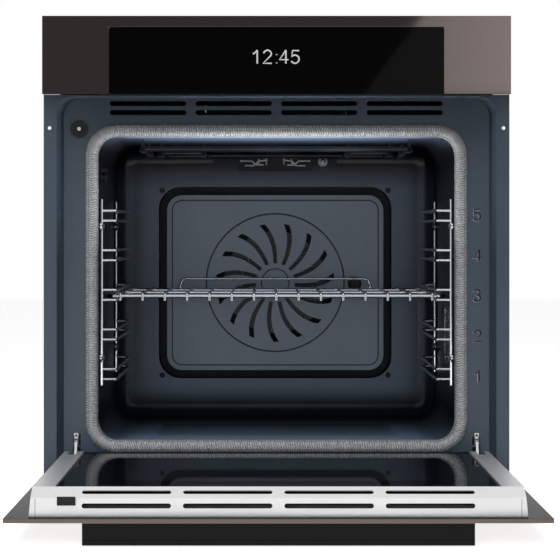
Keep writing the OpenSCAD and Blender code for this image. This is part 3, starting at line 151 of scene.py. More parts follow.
def add_ring(bm: BMesh, radius: float, level: float, sides: int) -> list[BMVert]:
    """Adds the points of a level ring round the Z axis.

    Args:
        bm: the mesh to add to.
        radius: the ring's radius.
        level: its height.
        sides: how many points it has.

    Returns:
        The ring's vertices.
    """
    turns = [2 * math.pi * i / sides for i in range(sides)]
    return [bm.verts.new((radius * math.cos(turn), radius * math.sin(turn), level)) for turn in turns]


def skin(bm: BMesh, loops: list[list[BMVert]]) -> None:
    """Spans the faces between each closed loop of vertices and the next.

    Args:
        bm: the mesh to add to.
        loops: the loops, all with the same count of vertices.
    """
    for low, high in zip(loops, loops[1:]):
        for i in range(len(low)):
            k = (i + 1) % len(low)
            bm.faces.new((low[i], low[k], high[k], high[i]))


def frozen_mesh(made: Object, name: str) -> Object:
    """Turns an object and its modifiers into a plain mesh object at the origin.

    Args:
        made: the object to evaluate, which is removed.
        name: the name of the plain piece.

    Returns:
        The plain object.
    """
    bpy.context.view_layer.update()
    evaluated = made.evaluated_get(bpy.context.evaluated_depsgraph_get())
    mesh = bpy.data.meshes.new_from_object(evaluated)
    mesh.transform(made.matrix_world)
    bpy.data.objects.remove(made)
    mesh.name = name
    plain = bpy.data.objects.new(name, mesh)
    bpy.context.scene.collection.objects.link(plain)
    return plain


class Body(Enum):
    """Moving bodies of the oven."""

    OVEN = "oven"
    DOOR = "door"


def hand_over(piece: Object, body: Body) -> None:
    """Rides a piece on its body and reports it.

    Args:
        piece: the finished object.
        body: the body that carries it.
    """
    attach(piece, body.value)
    LOG.info("%s: %d faces on %s", piece.name, len(piece.data.polygons), body.value)


# ---- finishes ----


@dataclass(frozen=True)
class Draft:
    """A material in the making: its nodes, its Principled shader and its Object coordinates in metres."""

    tree: NodeTree
    shader: Node
    place: NodeSocket

    def feed(self, source: NodeSocket, name: str) -> None:
        """Links a socket to the shader's input of that name."""
        self.tree.links.new(source, self.shader.inputs[name])


@dataclass(frozen=True)
class Finish:
    """A surface finish; its subclasses add the pattern that the real one shows."""

    name: str
    colour: str
    roughness: float = 0.5
    metallic: float = 0.0
    ior: float = 1.5
    glow: float = 0.0

    def material(self) -> Material:
        """Builds the finish's material at its first use.

        Returns:
            The material, the same one each time.
        """
        found = bpy.data.materials.get(self.name)
        if found:
            return found
        made = bpy.data.materials.new(self.name)
        made.use_nodes = True
        tree = made.node_tree
        tree.nodes.clear()
        shader = add_node(tree, "ShaderNodeBsdfPrincipled", inputs={
            "Base Color": linear(self.colour), "Roughness": self.roughness,
            "Metallic": self.metallic, "IOR": self.ior,
            "Emission Color": linear(self.colour), "Emission Strength": self.glow,
        })
        self.pattern(Draft(tree, shader, add_node(tree, "ShaderNodeTexCoord").outputs["Object"]))
        add_node(tree, "ShaderNodeOutputMaterial", inputs={"Surface": shader.outputs[0]})
        made.diffuse_color = linear(self.colour)
        return made

    def pattern(self, on: Draft) -> None:
        """Adds the finish's own pattern.

        Args:
            on: the material in the making.
        """
        self.mottle(on, size=6, spread=0.06)
        self.bump(on, size=0.8, height=0.01)

    def mottle(self, on: Draft, size: float, spread: float) -> NodeSocket:
        """Varies the colour softly about its own value.

        Args:
            on: the material in the making.
            size: the width of the patches in millimetres.
            spread: how far the lightness moves, as a share.

        Returns:
            The colour's socket.
        """
        noise = add_node(on.tree, "ShaderNodeTexNoise", inputs={
            "Vector": on.place, "Scale": per_mm(size), "Detail": 3.0,
        })
        r, g, b, _ = linear(self.colour)
        mix = add_node(on.tree, "ShaderNodeMix", {"data_type": "RGBA"}, {
            0: noise.outputs[0],
            6: (r * (1 - spread), g * (1 - spread), b * (1 - spread), 1),
            7: (r * (1 + spread), g * (1 + spread), b * (1 + spread), 1),
        })
        on.feed(mix.outputs[2], "Base Color")
        return mix.outputs[2]

    def bump(self, on: Draft, size: float, height: float) -> None:
        """Raises a fine grain.

        Args:
            on: the material in the making.
            size: the width of the grain in millimetres.
            height: the height of the grain in millimetres.
        """
        noise = add_node(on.tree, "ShaderNodeTexNoise", inputs={
            "Vector": on.place, "Scale": per_mm(size), "Detail": 2.0,
        })
        grain = add_node(on.tree, "ShaderNodeBump", inputs={"Height": noise.outputs[0], "Distance": height * MM})
        on.feed(grain.outputs[0], "Normal")


@dataclass(frozen=True)
class VitreousEnamel(Finish):
    """Slate vitreous enamel fired on steel: glassy, softly waved, with a fine pale fleck."""

    fleck_mm: float = 1.7
    wave_mm: float = 24.0
    fleck: str = "#8b939b"

    def pattern(self, on: Draft) -> None:
        """Adds the fleck and the orange-peel wave.

        Args:
            on: the material in the making.
        """
        ground = self.mottle(on, size=45, spread=0.07)
        cells = add_node(on.tree, "ShaderNodeTexVoronoi", inputs={"Vector": on.place, "Scale": per_mm(self.fleck_mm)})
        spots = add_node(on.tree, "ShaderNodeMapRange", inputs={
            0: cells.outputs["Distance"], 1: 0.06, 2: 0.22, 3: 0.14, 4: 0.0,
        })
        mix = add_node(on.tree, "ShaderNodeMix", {"data_type": "RGBA"}, {
            0: spots.outputs[0], 6: ground, 7: linear(self.fleck),
        })
        on.feed(mix.outputs[2], "Base Color")
        self.bump(on, size=self.wave_mm, height=0.05)


# Axis (0 counts from the middle outwards), where the fade starts and ends in millimetres, and its last colour
Fade = tuple[int, float, float, str]


@dataclass(frozen=True)
class MuffleEnamel(VitreousEnamel):
    """Slate enamel of a muffle, darkened by position: the fades stand in for the shade in a deep cavity."""

    fades: tuple[Fade, ...] = ()

    def pattern(self, on: Draft) -> None:
        """Darkens the colour along each fade.

        Args:
            on: the material in the making.
        """
        super().pattern(on)
        parts = add_node(on.tree, "ShaderNodeSeparateXYZ", inputs={0: on.place})
        reach = add_node(on.tree, "ShaderNodeMath", {"operation": "ABSOLUTE"}, {0: parts.outputs[0]})
        colour = on.shader.inputs["Base Color"].links[0].from_socket
        for axis, start, end, dark in self.fades:
            where = parts.outputs[axis] if axis else reach.outputs[0]
            share = add_node(on.tree, "ShaderNodeMapRange", inputs={0: where, 1: start * MM, 2: end * MM})
            mix = add_node(on.tree, "ShaderNodeMix", {"data_type": "RGBA"}, {
                0: share.outputs[0], 6: colour, 7: linear(dark),
            })
            colour = mix.outputs[2]
        on.feed(colour, "Base Color")


@dataclass(frozen=True)
class CreasedEnamel(VitreousEnamel):
    """Slate enamel on a pressed cover; the creases and all that lies behind the cover's face are darkened as painted
    shade.
    """

    groove_from: float = 0.0
    pool: str = "#0b0e12"

    def pattern(self, on: Draft) -> None:
        """Darkens what lies behind the cover's face, as painted shade.

        Args:
            on: the material in the making.
        """
        super().pattern(on)
        ground = on.shader.inputs["Base Color"].links[0].from_socket
        depth = add_node(on.tree, "ShaderNodeSeparateXYZ", inputs={0: on.place})
        inside = add_node(on.tree, "ShaderNodeMath", {"operation": "GREATER_THAN"}, {
            0: depth.outputs[1], 1: self.groove_from * MM,
        })
        mix = add_node(on.tree, "ShaderNodeMix", {"data_type": "RGBA"}, {
            0: inside.outputs[0], 6: ground, 7: linear(self.pool),
        })
        on.feed(mix.outputs[2], "Base Color")


@dataclass(frozen=True)
class GalvanisedSheet(Finish):
    """Hot-dip galvanised sheet: small crystals of zinc, each with its own tone and gloss."""

    spangle_mm: float = 6.0
    dull: str = "#979c9f"
    bright: str = "#abb0b3"

    def pattern(self, on: Draft) -> None:
        """Adds the spangle to colour and roughness, and rolling marks to the relief.

        Args:
            on: the material in the making.
        """
        cells = add_node(on.tree, "ShaderNodeTexVoronoi", inputs={"Vector": on.place, "Scale": per_mm(self.spangle_mm)})
        tone = add_node(on.tree, "ShaderNodeSeparateColor", inputs={0: cells.outputs["Color"]})
        mix = add_node(on.tree, "ShaderNodeMix", {"data_type": "RGBA"}, {
            0: tone.outputs[0], 6: linear(self.dull), 7: linear(self.bright),
        })
        on.feed(mix.outputs[2], "Base Color")
        gloss = add_node(on.tree, "ShaderNodeMapRange", inputs={
            0: tone.outputs[1], 3: self.roughness - 0.08, 4: self.roughness + 0.1,
        })
        on.feed(gloss.outputs[0], "Roughness")
        self.bump(on, size=2.5, height=0.01)


@dataclass(frozen=True)
class DrawnMetal(Finish):
    """Metal drawn or brushed one way: fine lines along one axis break up its highlights."""

    line_mm: float = 0.6
    length_mm: float = 40.0
    axis: int = 0
    depth_mm: float = 0.004

    def pattern(self, on: Draft) -> None:
        """Adds the lines to roughness and relief.

        Args:
            on: the material in the making.
        """
        stretch = [per_mm(self.line_mm)] * 3
        stretch[self.axis] = per_mm(self.length_mm)
        drawn = add_node(on.tree, "ShaderNodeMapping", inputs={"Vector": on.place, "Scale": stretch})
        lines = add_node(on.tree, "ShaderNodeTexNoise", inputs={
            "Vector": drawn.outputs[0], "Scale": 1.0, "Detail": 2.0,
        })
        self.mottle(replace(on, place=drawn.outputs[0]), size=1000, spread=0.04)
        gloss = add_node(on.tree, "ShaderNodeMapRange", inputs={
            0: lines.outputs[0], 1: 0.3, 2: 0.7, 3: self.roughness * 0.8, 4: self.roughness * 1.2,
        })
        on.feed(gloss.outputs[0], "Roughness")
        relief = add_node(on.tree, "ShaderNodeBump", inputs={
            "Height": lines.outputs[0], "Distance": self.depth_mm * MM,
        })
        on.feed(relief.outputs[0], "Normal")


@dataclass(frozen=True)
class KnittedGlassFibre(Finish):
    """Knitted glass-fibre tube: matt grey yarn with loose fuzz; the gaps between the loops are darker, which is painted
    shade.
    """

    yarn_mm: float = 1.4
    fuzz_mm: float = 3.0
    loop_depth_mm: float = 0.7
    shade: str = "#8a8d91"

    def pattern(self, on: Draft) -> None:
        """Adds the painted shade between the loops, varied by the fuzz, and the loops' relief.

        Args:
            on: the material in the making.
        """
        loops = add_node(on.tree, "ShaderNodeTexVoronoi", {"feature": "F1"}, {
            "Vector": on.place, "Scale": per_mm(self.yarn_mm),
        })
        fuzz = add_node(on.tree, "ShaderNodeTexNoise", inputs={
            "Vector": on.place, "Scale": per_mm(self.fuzz_mm), "Detail": 5.0,
        })
        # Darker away from each loop's middle: painted shade in the gaps, mottled at random by the fuzz
        both = add_node(on.tree, "ShaderNodeMath", {"operation": "MULTIPLY"}, {0: loops.outputs[0], 1: fuzz.outputs[0]})
        tone = add_node(on.tree, "ShaderNodeMapRange", inputs={0: both.outputs[0], 1: 0.05, 2: 0.4})
        mix = add_node(on.tree, "ShaderNodeMix", {"data_type": "RGBA"}, {
            0: tone.outputs[0], 6: linear(self.colour), 7: linear(self.shade),
        })
        on.feed(mix.outputs[2], "Base Color")
        relief = add_node(on.tree, "ShaderNodeBump", {"invert": True}, {
            "Height": loops.outputs[0], "Distance": self.loop_depth_mm * MM,
        })
        on.feed(relief.outputs[0], "Normal")


@dataclass(frozen=True)
class MineralWool(Finish):
    """Compressed mineral wool: tangled straw-coloured fibre in soft lumps."""

    def pattern(self, on: Draft) -> None:
        """Adds lumps of colour and a coarse relief.

        Args:
            on: the material in the making.
        """
        self.mottle(on, size=14, spread=0.25)
        self.bump(on, size=3, height=1.2)


@dataclass(frozen=True)
class MouldedPlastic(Finish):
    """Injection-moulded plastic with a spark-eroded grain; the grain is drawn coarse enough to see."""

    grain_mm: float = 0.9

    def pattern(self, on: Draft) -> None:
        """Adds the moulded grain and a slight change of tone.

        Args:
            on: the material in the making.
        """
        self.mottle(on, size=30, spread=0.08)
        self.bump(on, size=self.grain_mm, height=0.02)


@dataclass(frozen=True)
class HeatTube(Finish):
    """Oxidised nickel-alloy tube: straw, brown and blue temper bands along a dark sheath."""

    band_mm: float = 60.0

    def pattern(self, on: Draft) -> None:
        """Adds the temper colours and a dry oxide grain.

        Args:
            on: the material in the making.
        """
        noise = add_node(on.tree, "ShaderNodeTexNoise", inputs={
            "Vector": on.place, "Scale": per_mm(self.band_mm), "Detail": 2.0,
        })
        ramp = add_node(on.tree, "ShaderNodeValToRGB", inputs={0: noise.outputs[0]})
        stops = ramp.color_ramp.elements
        stops[0].position, stops[0].color = 0.35, linear("#17181a")
        stops[1].position, stops[1].color = 0.7, linear("#2e2b29")
        middle = stops.new(0.52)
        middle.color = linear("#1f2228")
        on.feed(ramp.outputs[0], "Base Color")
        self.bump(on, size=0.7, height=0.02)


@dataclass(frozen=True)
class Laminations(Finish):
    """Varnished motor laminations: thin steel sheets along the shaft, drawn coarse enough to see."""

    axis: int = 1
    sheet_mm: float = 1.0
    groove_mm: float = 0.08

    def pattern(self, on: Draft) -> None:
        """Adds the edges of the sheets as fine grooves.

        Args:
            on: the material in the making.
        """
        parts = add_node(on.tree, "ShaderNodeSeparateXYZ", inputs={0: on.place})
        turns = add_node(on.tree, "ShaderNodeMath", {"operation": "MULTIPLY"}, {
            0: parts.outputs[self.axis], 1: 2 * math.pi * per_mm(self.sheet_mm),
        })
        edge = add_node(on.tree, "ShaderNodeMath", {"operation": "SINE"}, {0: turns.outputs[0]})
        self.mottle(on, size=9, spread=0.2)
        relief = add_node(on.tree, "ShaderNodeBump", inputs={
            "Height": edge.outputs[0], "Distance": self.groove_mm * MM,
        })
        on.feed(relief.outputs[0], "Normal")


@dataclass(frozen=True)
class ClearGlass(Finish):
    """Clear pressed or float glass with the faint waviness of its making."""

    clearness: float = 1.0

    def pattern(self, on: Draft) -> None:
        """Lets light through and waves the surface slightly.

        Args:
            on: the material in the making.
        """
        on.shader.inputs["Transmission Weight"].default_value = self.clearness
        self.bump(on, size=40, height=0.01)


@dataclass(frozen=True)
class CoatedGlass(Finish):
    """Float glass, mirror-coated behind its face: a dim warm mirror in front, black enamel behind."""

    axis: int = 1
    face_end: float = 0.0
    back_start: float = 100.0
    edge: str = "#5a524c"
    back: str = "#1d1c1b"
    grazing: str = "#565656"

    def pattern(self, on: Draft) -> None:
        """Colours face, edge and back by their depth, and waves the glass very slightly.

        Args:
            on: the material in the making.
        """
        on.shader.inputs["Specular Tint"].default_value = linear(self.grazing)
        depth = add_node(on.tree, "ShaderNodeSeparateXYZ", inputs={0: on.place})
        colour: Any = linear(self.colour)
        for start, tone in ((self.face_end, self.edge), (self.back_start, self.back)):
            past = add_node(on.tree, "ShaderNodeMath", {"operation": "GREATER_THAN"}, {
                0: depth.outputs[self.axis], 1: start * MM,
            })
            mix = add_node(on.tree, "ShaderNodeMix", {"data_type": "RGBA"}, {
                0: past.outputs[0], 6: colour, 7: linear(tone),
            })
            colour = mix.outputs[2]
        on.feed(colour, "Base Color")
        self.bump(on, size=90, height=0.004)


@dataclass(frozen=True)
class PrintedGlass(Finish):
    """Toughened glass printed at its border: solid ceramic ink that ends in rows of shrinking dots."""

    window: tuple[float, float] = (180.0, 150.0)
    middle: Point = (0.0, -235.0, 0.0)
    fade_mm: float = 16.0
    dot_mm: float = 2.6
    ink: str = "#33353a"
    grazing: str = "#8f9296"

    def pattern(self, on: Draft) -> None:
        """Prints the dotted border round the window.

        Args:
            on: the material in the making.
        """
        on.shader.inputs["Specular Tint"].default_value = linear(self.grazing)
        parts = add_node(on.tree, "ShaderNodeSeparateXYZ", inputs={0: on.place})
        reach = []
        for axis in (0, 1):
            off = add_node(on.tree, "ShaderNodeMath", {"operation": "SUBTRACT"}, {
                0: parts.outputs[axis], 1: self.middle[axis] * MM,
            })
            span = add_node(on.tree, "ShaderNodeMath", {"operation": "ABSOLUTE"}, {0: off.outputs[0]})
            reach.append(add_node(on.tree, "ShaderNodeMapRange", inputs={
                0: span.outputs[0], 1: (self.window[axis] - self.fade_mm) * MM, 2: self.window[axis] * MM,
            }))
        cover = add_node(on.tree, "ShaderNodeMath", {"operation": "MAXIMUM"}, {
            0: reach[0].outputs[0], 1: reach[1].outputs[0],
        })
        dots = add_node(on.tree, "ShaderNodeTexVoronoi", inputs={
            "Vector": on.place, "Scale": per_mm(self.dot_mm), "Randomness": 0.0,
        })
        ink = add_node(on.tree, "ShaderNodeMath", {"operation": "LESS_THAN"}, {
            0: dots.outputs[0], 1: cover.outputs[0],
        })
        mix = add_node(on.tree, "ShaderNodeMix", {"data_type": "RGBA"}, {
            0: ink.outputs[0], 6: linear(self.colour), 7: linear(self.ink),
        })
        on.feed(mix.outputs[2], "Base Color")
        self.bump(on, size=90, height=0.003)


@dataclass(frozen=True)
class CircuitBoard(Finish):
    """Green solder mask below, moulded relays and capacitors above: the tone changes with height."""

    board_top: float = 0.0
    parts_colour: str = "#23354f"

    def pattern(self, on: Draft) -> None:
        """Colours tray, board and parts by their height.

        Args:
            on: the material in the making.
        """
        height = add_node(on.tree, "ShaderNodeSeparateXYZ", inputs={0: on.place})
        above = add_node(on.tree, "ShaderNodeMath", {"operation": "GREATER_THAN"}, {
            0: height.outputs[2], 1: (self.board_top + 0.1) * MM,
        })
        mask = self.mottle(on, size=2.5, spread=0.35)
        mix = add_node(on.tree, "ShaderNodeMix", {"data_type": "RGBA"}, {
            0: above.outputs[0], 6: mask, 7: linear(self.parts_colour),
        })
        on.feed(mix.outputs[2], "Base Color")


ENAMEL = VitreousEnamel("vitreous_enamel_frame", "#38434f", roughness=0.25, ior=1.4)
MUFFLE_ENAMEL = MuffleEnamel("vitreous_enamel_muffle", "#64748f", roughness=0.3, ior=1.2, fades=(
    (1, 30.0, 330.0, "#0b0f15"), (0, 185.0, 226.0, "#06080b"),
))
BACK_ENAMEL = MuffleEnamel("vitreous_enamel_back", "#434f5f", roughness=0.28, ior=1.35, fades=(
    (1, 430.0, 414.0, "#0b0f15"), (0, 185.0, 226.0, "#1c232b"),
    (2, 380.0, 418.0, "#06080b"), (2, 96.0, 74.0, "#0c1015"),
))
COVER_ENAMEL = CreasedEnamel("vitreous_enamel_creased_cover", "#5a6673", roughness=0.28, ior=1.4)
CHAMBER_ENAMEL = VitreousEnamel("vitreous_enamel_ground_coat", "#14181e", roughness=0.4, ior=1.3)
WHEEL_ENAMEL = VitreousEnamel("vitreous_enamel_fan_wheel", "#2e3740", roughness=0.3)
# A lighter enamel, for the painted highlights beside the shelf numbers
HIGHLIGHT_ENAMEL = VitreousEnamel("vitreous_enamel_painted_highlights", "#78828c", roughness=0.2)
NUMBER_ENAMEL = VitreousEnamel("vitreous_enamel_numbers", "#0f1318", roughness=0.2)
GALVANISED = GalvanisedSheet("galvanised_steel_spangled", "#a3a9ad", roughness=0.38, metallic=0.9)
# The air duct is galvanised sheet drawn near-black: its dark colour is painted shade
SHADED_DUCT_SHEET = GalvanisedSheet("galvanised_sheet_painted_shade", "#131415", roughness=0.6, metallic=0.5,
                             dull="#0e0f10", bright="#17181a")
CHROME = DrawnMetal("chrome_plated_wire", "#d5d7da", roughness=0.1, metallic=1.0, line_mm=1.5, depth_mm=0.002)
ZINC = DrawnMetal("bright_zinc_plated_steel", "#cfd1d4", roughness=0.24, metallic=1.0, line_mm=1.2)
KNIT = KnittedGlassFibre("knitted_glass_fibre", "#d3d2d0", roughness=0.95)
KNIT_CORE = MineralWool("glass_fibre_core", "#66686c", roughness=1.0)
WOOL = MineralWool("mineral_wool", "#c5bc98", roughness=1.0)
BLACK_ABS = MouldedPlastic("moulded_black_plastic", "#141415", roughness=0.42, ior=1.35)
BLACK_LACQUER = MouldedPlastic("black_lacquered_aluminium", "#050506", roughness=0.5, ior=1.25)
WHITE_ABS = MouldedPlastic("moulded_white_plastic", "#d8d8d6", roughness=0.35)
PRINT = MouldedPlastic("lit_display_figures", "#b1b1b1", roughness=0.6, glow=0.6)
HEATER = HeatTube("oxidised_nickel_tube", "#202124", roughness=0.35, metallic=0.5)
FLANGE = DrawnMetal("oxidised_flange_steel", "#17181a", roughness=0.45, metallic=0.6, line_mm=1.0)
PRESSED = DrawnMetal("pressed_steel_wheel", "#5c646c", roughness=0.42, metallic=0.8, line_mm=1.2)
SPRING = DrawnMetal("oiled_spring_wire", "#5d6165", roughness=0.35, metallic=1.0, line_mm=1.0)
CLIP_WIRE = DrawnMetal("scaled_clip_wire", "#b3b4b7", roughness=0.3, metallic=0.9, line_mm=1.0)
SHAFT = DrawnMetal("ground_steel_shaft", "#b8bbbe", roughness=0.25, metallic=1.0, axis=1)
MOTOR_Y = Laminations("motor_laminations_lengthways", "#6b5241", roughness=0.5, metallic=0.3, axis=1)
MOTOR_X = Laminations("motor_laminations_crossways", "#6b5241", roughness=0.5, metallic=0.3, axis=0)
LAMP_GLASS = ClearGlass("pressed_lamp_glass", "#e9f0f2", roughness=0.08)
PANE = ClearGlass("coated_clear_glass", "#c9d4d3", roughness=0.03, clearness=0.9)
INNER_PANE = PrintedGlass("printed_inner_glass", "#555963", roughness=0.03, metallic=0.84)
BRONZE_DOOR = CoatedGlass("bronze_coated_door_glass", "#7e7370", roughness=0.04, metallic=1.0, axis=2)
BRONZE_FASCIA = CoatedGlass("bronze_coated_fascia_glass", "#7e7370", roughness=0.04, metallic=1.0)
DISPLAY = ClearGlass("black_display_glass", "#050505", roughness=0.03, ior=1.2, clearness=0.0)
ANODISED = DrawnMetal("satin_anodised_aluminium", "#dcdcdd", roughness=0.38, metallic=0.9, line_mm=0.8, length_mm=200)
BOARD = CircuitBoard("green_circuit_board", "#1f5c3a", roughness=0.35, board_top=475.3)


def dress(finish: Finish, *nodes: str) -> None:
    """Gives CAD nodes a finish.

    Args:
        finish: the finish.
        nodes: names of the nodes.
    """
    for name in nodes:
        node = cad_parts[name]
        node.data.materials.clear()
        node.data.materials.append(finish.material())
        LOG.info("%s: %s", name, finish.name)


# ---- repeated small parts, made with geometry nodes ----

LEAN_SEED = 3
STRETCH_SEED = 7
SCATTER_SEED = 7


@dataclass(frozen=True)
class Spot:
    """A place for a small part, in millimetres, and the way that it faces."""

    at: Point
    facing: Point


def new_tree(name: str, sockets: dict[str, str]) -> tuple[GeometryNodeTree, Any]:
    """Starts a geometry tree with its named inputs.

    Args:
        name: the tree's name.
        sockets: the type of each input after Geometry, by name.

    Returns:
        The tree and the outputs of its Group Input node.
    """
    tree = bpy.data.node_groups.new(name, "GeometryNodeTree")
    for label, kind in {"Geometry": "Geometry", **sockets}.items():
        tree.interface.new_socket(label, in_out="INPUT", socket_type="NodeSocket" + kind)
    tree.interface.new_socket("Geometry", in_out="OUTPUT", socket_type="NodeSocketGeometry")
    return tree, add_node(tree, "NodeGroupInput").outputs


def end_tree(tree: GeometryNodeTree, given: Any, points: Any, turn: Any, scale: Any) -> None:
    """Ends a geometry tree: sets the template on the points, makes it real and gives it its finish.

    Args:
        tree: the tree, with the inputs Template and Finish.
        given: the outputs of its Group Input node.
        points: the socket of the points or the curve.
        turn: the socket of each copy's rotation.
        scale: the socket of each copy's scale.
    """
    shape = add_node(tree, "GeometryNodeObjectInfo", inputs={"Object": given["Template"]})
    placed = add_node(tree, "GeometryNodeInstanceOnPoints", inputs={
        "Points": points, "Instance": shape.outputs["Geometry"], "Rotation": turn, "Scale": scale,
    })
    real = add_node(tree, "GeometryNodeRealizeInstances", inputs={0: placed.outputs[0]})
    finished = add_node(tree, "GeometryNodeSetMaterial", inputs={0: real.outputs[0], "Material": given["Finish"]})
    add_node(tree, "NodeGroupOutput", inputs={0: finished.outputs[0]})


def scatter_tree(name: str) -> GeometryNodeTree:
    """Builds the tree that sets a template on each point, turned to the point's facing.

    Args:
        name: the tree's name.

    Returns:
        The tree, with the inputs Template, Scale, Seed and Finish.
    """
    tree, given = new_tree(name, {"Template": "Object", "Scale": "Float", "Seed": "Int", "Finish": "Material"})
    facing = add_node(tree, "GeometryNodeInputNamedAttribute", {"data_type": "FLOAT_VECTOR"}, {"Name": "facing"})
    upright = add_node(tree, "FunctionNodeAlignRotationToVector", {"axis": "Z"}, {"Vector": facing.outputs[0]})
    turn = add_node(tree, "FunctionNodeRandomValue", {"data_type": "FLOAT"}, {
        2: 0.0, 3: math.pi, "Seed": given["Seed"],
    })
    spin = add_node(tree, "ShaderNodeCombineXYZ", inputs={2: turn.outputs[1]})
    turned = add_node(tree, "FunctionNodeRotateRotation", {"rotation_space": "LOCAL"}, {
        "Rotation": upright.outputs[0], "Rotate By": spin.outputs[0],
    })
    points = add_node(tree, "GeometryNodeMeshToPoints", inputs={"Mesh": given["Geometry"]})
    end_tree(tree, given, points.outputs[0], turned.outputs[0], given["Scale"])
    return tree


def stitch_tree(name: str) -> GeometryNodeTree:
    """Builds the tree that sets a template at even steps along a closed path, each a little askew.

    Args:
        name: the tree's name.

    Returns:
        The tree, with the inputs Template, Count, Lean Low, Lean High, Stretch Low, Stretch High and Finish.
    """
    tree, given = new_tree(name, {
        "Template": "Object", "Count": "Int", "Lean Low": "Float", "Lean High": "Float",
        "Stretch Low": "Vector", "Stretch High": "Vector", "Finish": "Material",
    })
    path = add_node(tree, "GeometryNodeMeshToCurve", inputs={"Mesh": given["Geometry"]})
    steps = add_node(tree, "GeometryNodeResampleCurve", inputs={"Curve": path.outputs[0], "Count": given["Count"]})
    along = add_node(tree, "GeometryNodeInputTangent")
    outward = add_node(tree, "FunctionNodeAlignRotationToVector", {"axis": "Z"}, {"Vector": (0.0, -1.0, 0.0)})
    turned = add_node(tree, "FunctionNodeAlignRotationToVector", {"axis": "X", "pivot_axis": "Z"}, {
        "Rotation": outward.outputs[0], "Vector": along.outputs[0],
    })
    lean = add_node(tree, "FunctionNodeRandomValue", {"data_type": "FLOAT"}, {
        2: given["Lean Low"], 3: given["Lean High"], "Seed": LEAN_SEED,
    })
    askew = add_node(tree, "ShaderNodeCombineXYZ", inputs={2: lean.outputs[1]})
    skewed = add_node(tree, "FunctionNodeRotateRotation", {"rotation_space": "LOCAL"}, {
        "Rotation": turned.outputs[0], "Rotate By": askew.outputs[0],
    })
    stretch = add_node(tree, "FunctionNodeRandomValue", {"data_type": "FLOAT_VECTOR"}, {
        0: given["Stretch Low"], 1: given["Stretch High"], "Seed": STRETCH_SEED,
    })
    end_tree(tree, given, steps.outputs[0], skewed.outputs[0], stretch.outputs[0])
    return tree


def run_tree(
    name: str, mesh: Mesh, tree: GeometryNodeTree, values: dict[str, Any],
) -> Object:
    """Runs a geometry tree on a mesh and keeps the result as a plain mesh.

    Args:
        name: the piece's name.
        mesh: the points or the path.
        tree: the geometry tree.
        values: the tree's inputs, by name.

    Returns:
        The plain object.
    """
    base = bpy.data.objects.new(name + "_base", mesh)
    bpy.context.scene.collection.objects.link(base)
    modifier = base.modifiers.new("nodes", "NODES")
    modifier.node_group = tree
    for item in tree.interface.items_tree:
        if item.in_out == "INPUT" and item.name in values:
            modifier[item.identifier] = values[item.name]
    made = frozen_mesh(base, name)
    bpy.data.objects.remove(values["Template"])
    return made


def scattered(name: str, template: Object, spots: Sequence[Spot], finish: Finish) -> Object:
    """Sets a template on each spot.

    Args:
        name: the piece's name.
        template: the small part, standing on the origin along Z, in metres.
        spots: where the parts go.
        finish: their finish.

    Returns:
        One plain mesh of all the parts.
    """
    mesh = bpy.data.meshes.new(name + "_points")
    mesh.from_pydata([[v * MM for v in spot.at] for spot in spots], [], [])
    facing = mesh.attributes.new("facing", "FLOAT_VECTOR", "POINT")
    facing.data.foreach_set("vector", [v for spot in spots for v in spot.facing])
    values = {"Template": template, "Scale": 1.0, "Seed": SCATTER_SEED, "Finish": finish.material()}
    return run_tree(name, mesh, scatter_tree(name + "_tree"), values)


def pan_head(name: str, across: float, height: float, finish: Finish) -> Object:
    """Builds a pan-head screw's head with a cross recess.

    Args:
        name: the template's name.
        across: the head's diameter in millimetres.
        height: the head's height in millimetres.
        finish: its finish.

    Returns:
        The template, standing on the origin.
    """
    sides, quarter = 24, 6
    wing, waist, draft, depth = 0.17, 0.06, 1.034, 0.35
    profile = [(0.5, -0.2), (0.5, 0.45), (0.46, 0.75), (0.36, 0.95), (0.2, 1.0)]
    bm = bmesh.new()
    loops = [add_ring(bm, across * radius, level * height, sides) for radius, level in profile]
    floor = add_ring(bm, across, depth * height, sides)
    for i, vert in enumerate(floor):
        vert.co.xy *= wing if i % quarter in (0, 1, quarter - 1) else waist
    loops.append([bm.verts.new((v.co.x * draft, v.co.y * draft, height)) for v in floor])
    loops.append(floor)
    skin(bm, loops)
    bm.faces.new(list(reversed(loops[0])))
    bm.faces.new(floor)
    return mesh_object(name, bm, finish.material())


def weld_dimple(name: str, across: float, finish: Finish) -> Object:
    """Builds the shallow ring that a spot weld leaves on a sheet.

    Args:
        name: the template's name.
        across: the ring's diameter in millimetres.
        finish: its finish.

    Returns:
        The template, standing on the origin.
    """
    sides = 20
    profile = [(0.5, -0.05), (0.44, 0.18), (0.36, 0.2), (0.3, 0.06)]
    bm = bmesh.new()
    loops = [add_ring(bm, across * radius, level, sides) for radius, level in profile]
    skin(bm, loops)
    bm.faces.new(loops[-1])
    bm.faces.new(list(reversed(loops[0])))
    return mesh_object(name, bm, finish.material())


def arc(middle: tuple[float, float], reach: tuple[float, float], start: float, end: float) -> list[tuple[float, float]]:
    """Returns points along an elliptic arc.

    Args:
        middle: its centre.
        reach: its half width and half height.
        start: the first angle in degrees.
        end: the last angle in degrees.

    Returns:
        The points, first to last.
    """
    steps = 14
    angles = [math.radians(start + (end - start) * i / steps) for i in range(steps + 1)]
    return [(middle[0] + reach[0] * math.cos(a), middle[1] + reach[1] * math.sin(a)) for a in angles]


FIGURE_UNITS = 100
# Strokes of plain round-ended figures, so many units high, and the width that each takes
FIGURES: dict[str, tuple[float, list[list[tuple[float, float]]]]] = {
    "1": (77, [[(0, 71), (18, 84), (34, 101)], [(34, 101), (34, -2)]]),
    "2": (99, [arc((36, 73), (29, 28), 172, -28) + [(2, 0), (69, 0)]]),
    "3": (84, [arc((32, 76), (25, 25), 165, -90) + arc((32, 26), (30, 27), 90, -160)]),
    "4": (90, [[(52, 102), (3, 28), (72, 28)], [(52, 102), (52, -2)]]),
    "5": (84, [[(64, 98), (14, 98), (7, 52)] + arc((33, 32), (31, 32), 128, -155)]),
    ":": (27, [[(8, 64), (8, 70)], [(8, 0), (8, 6)]]),
}


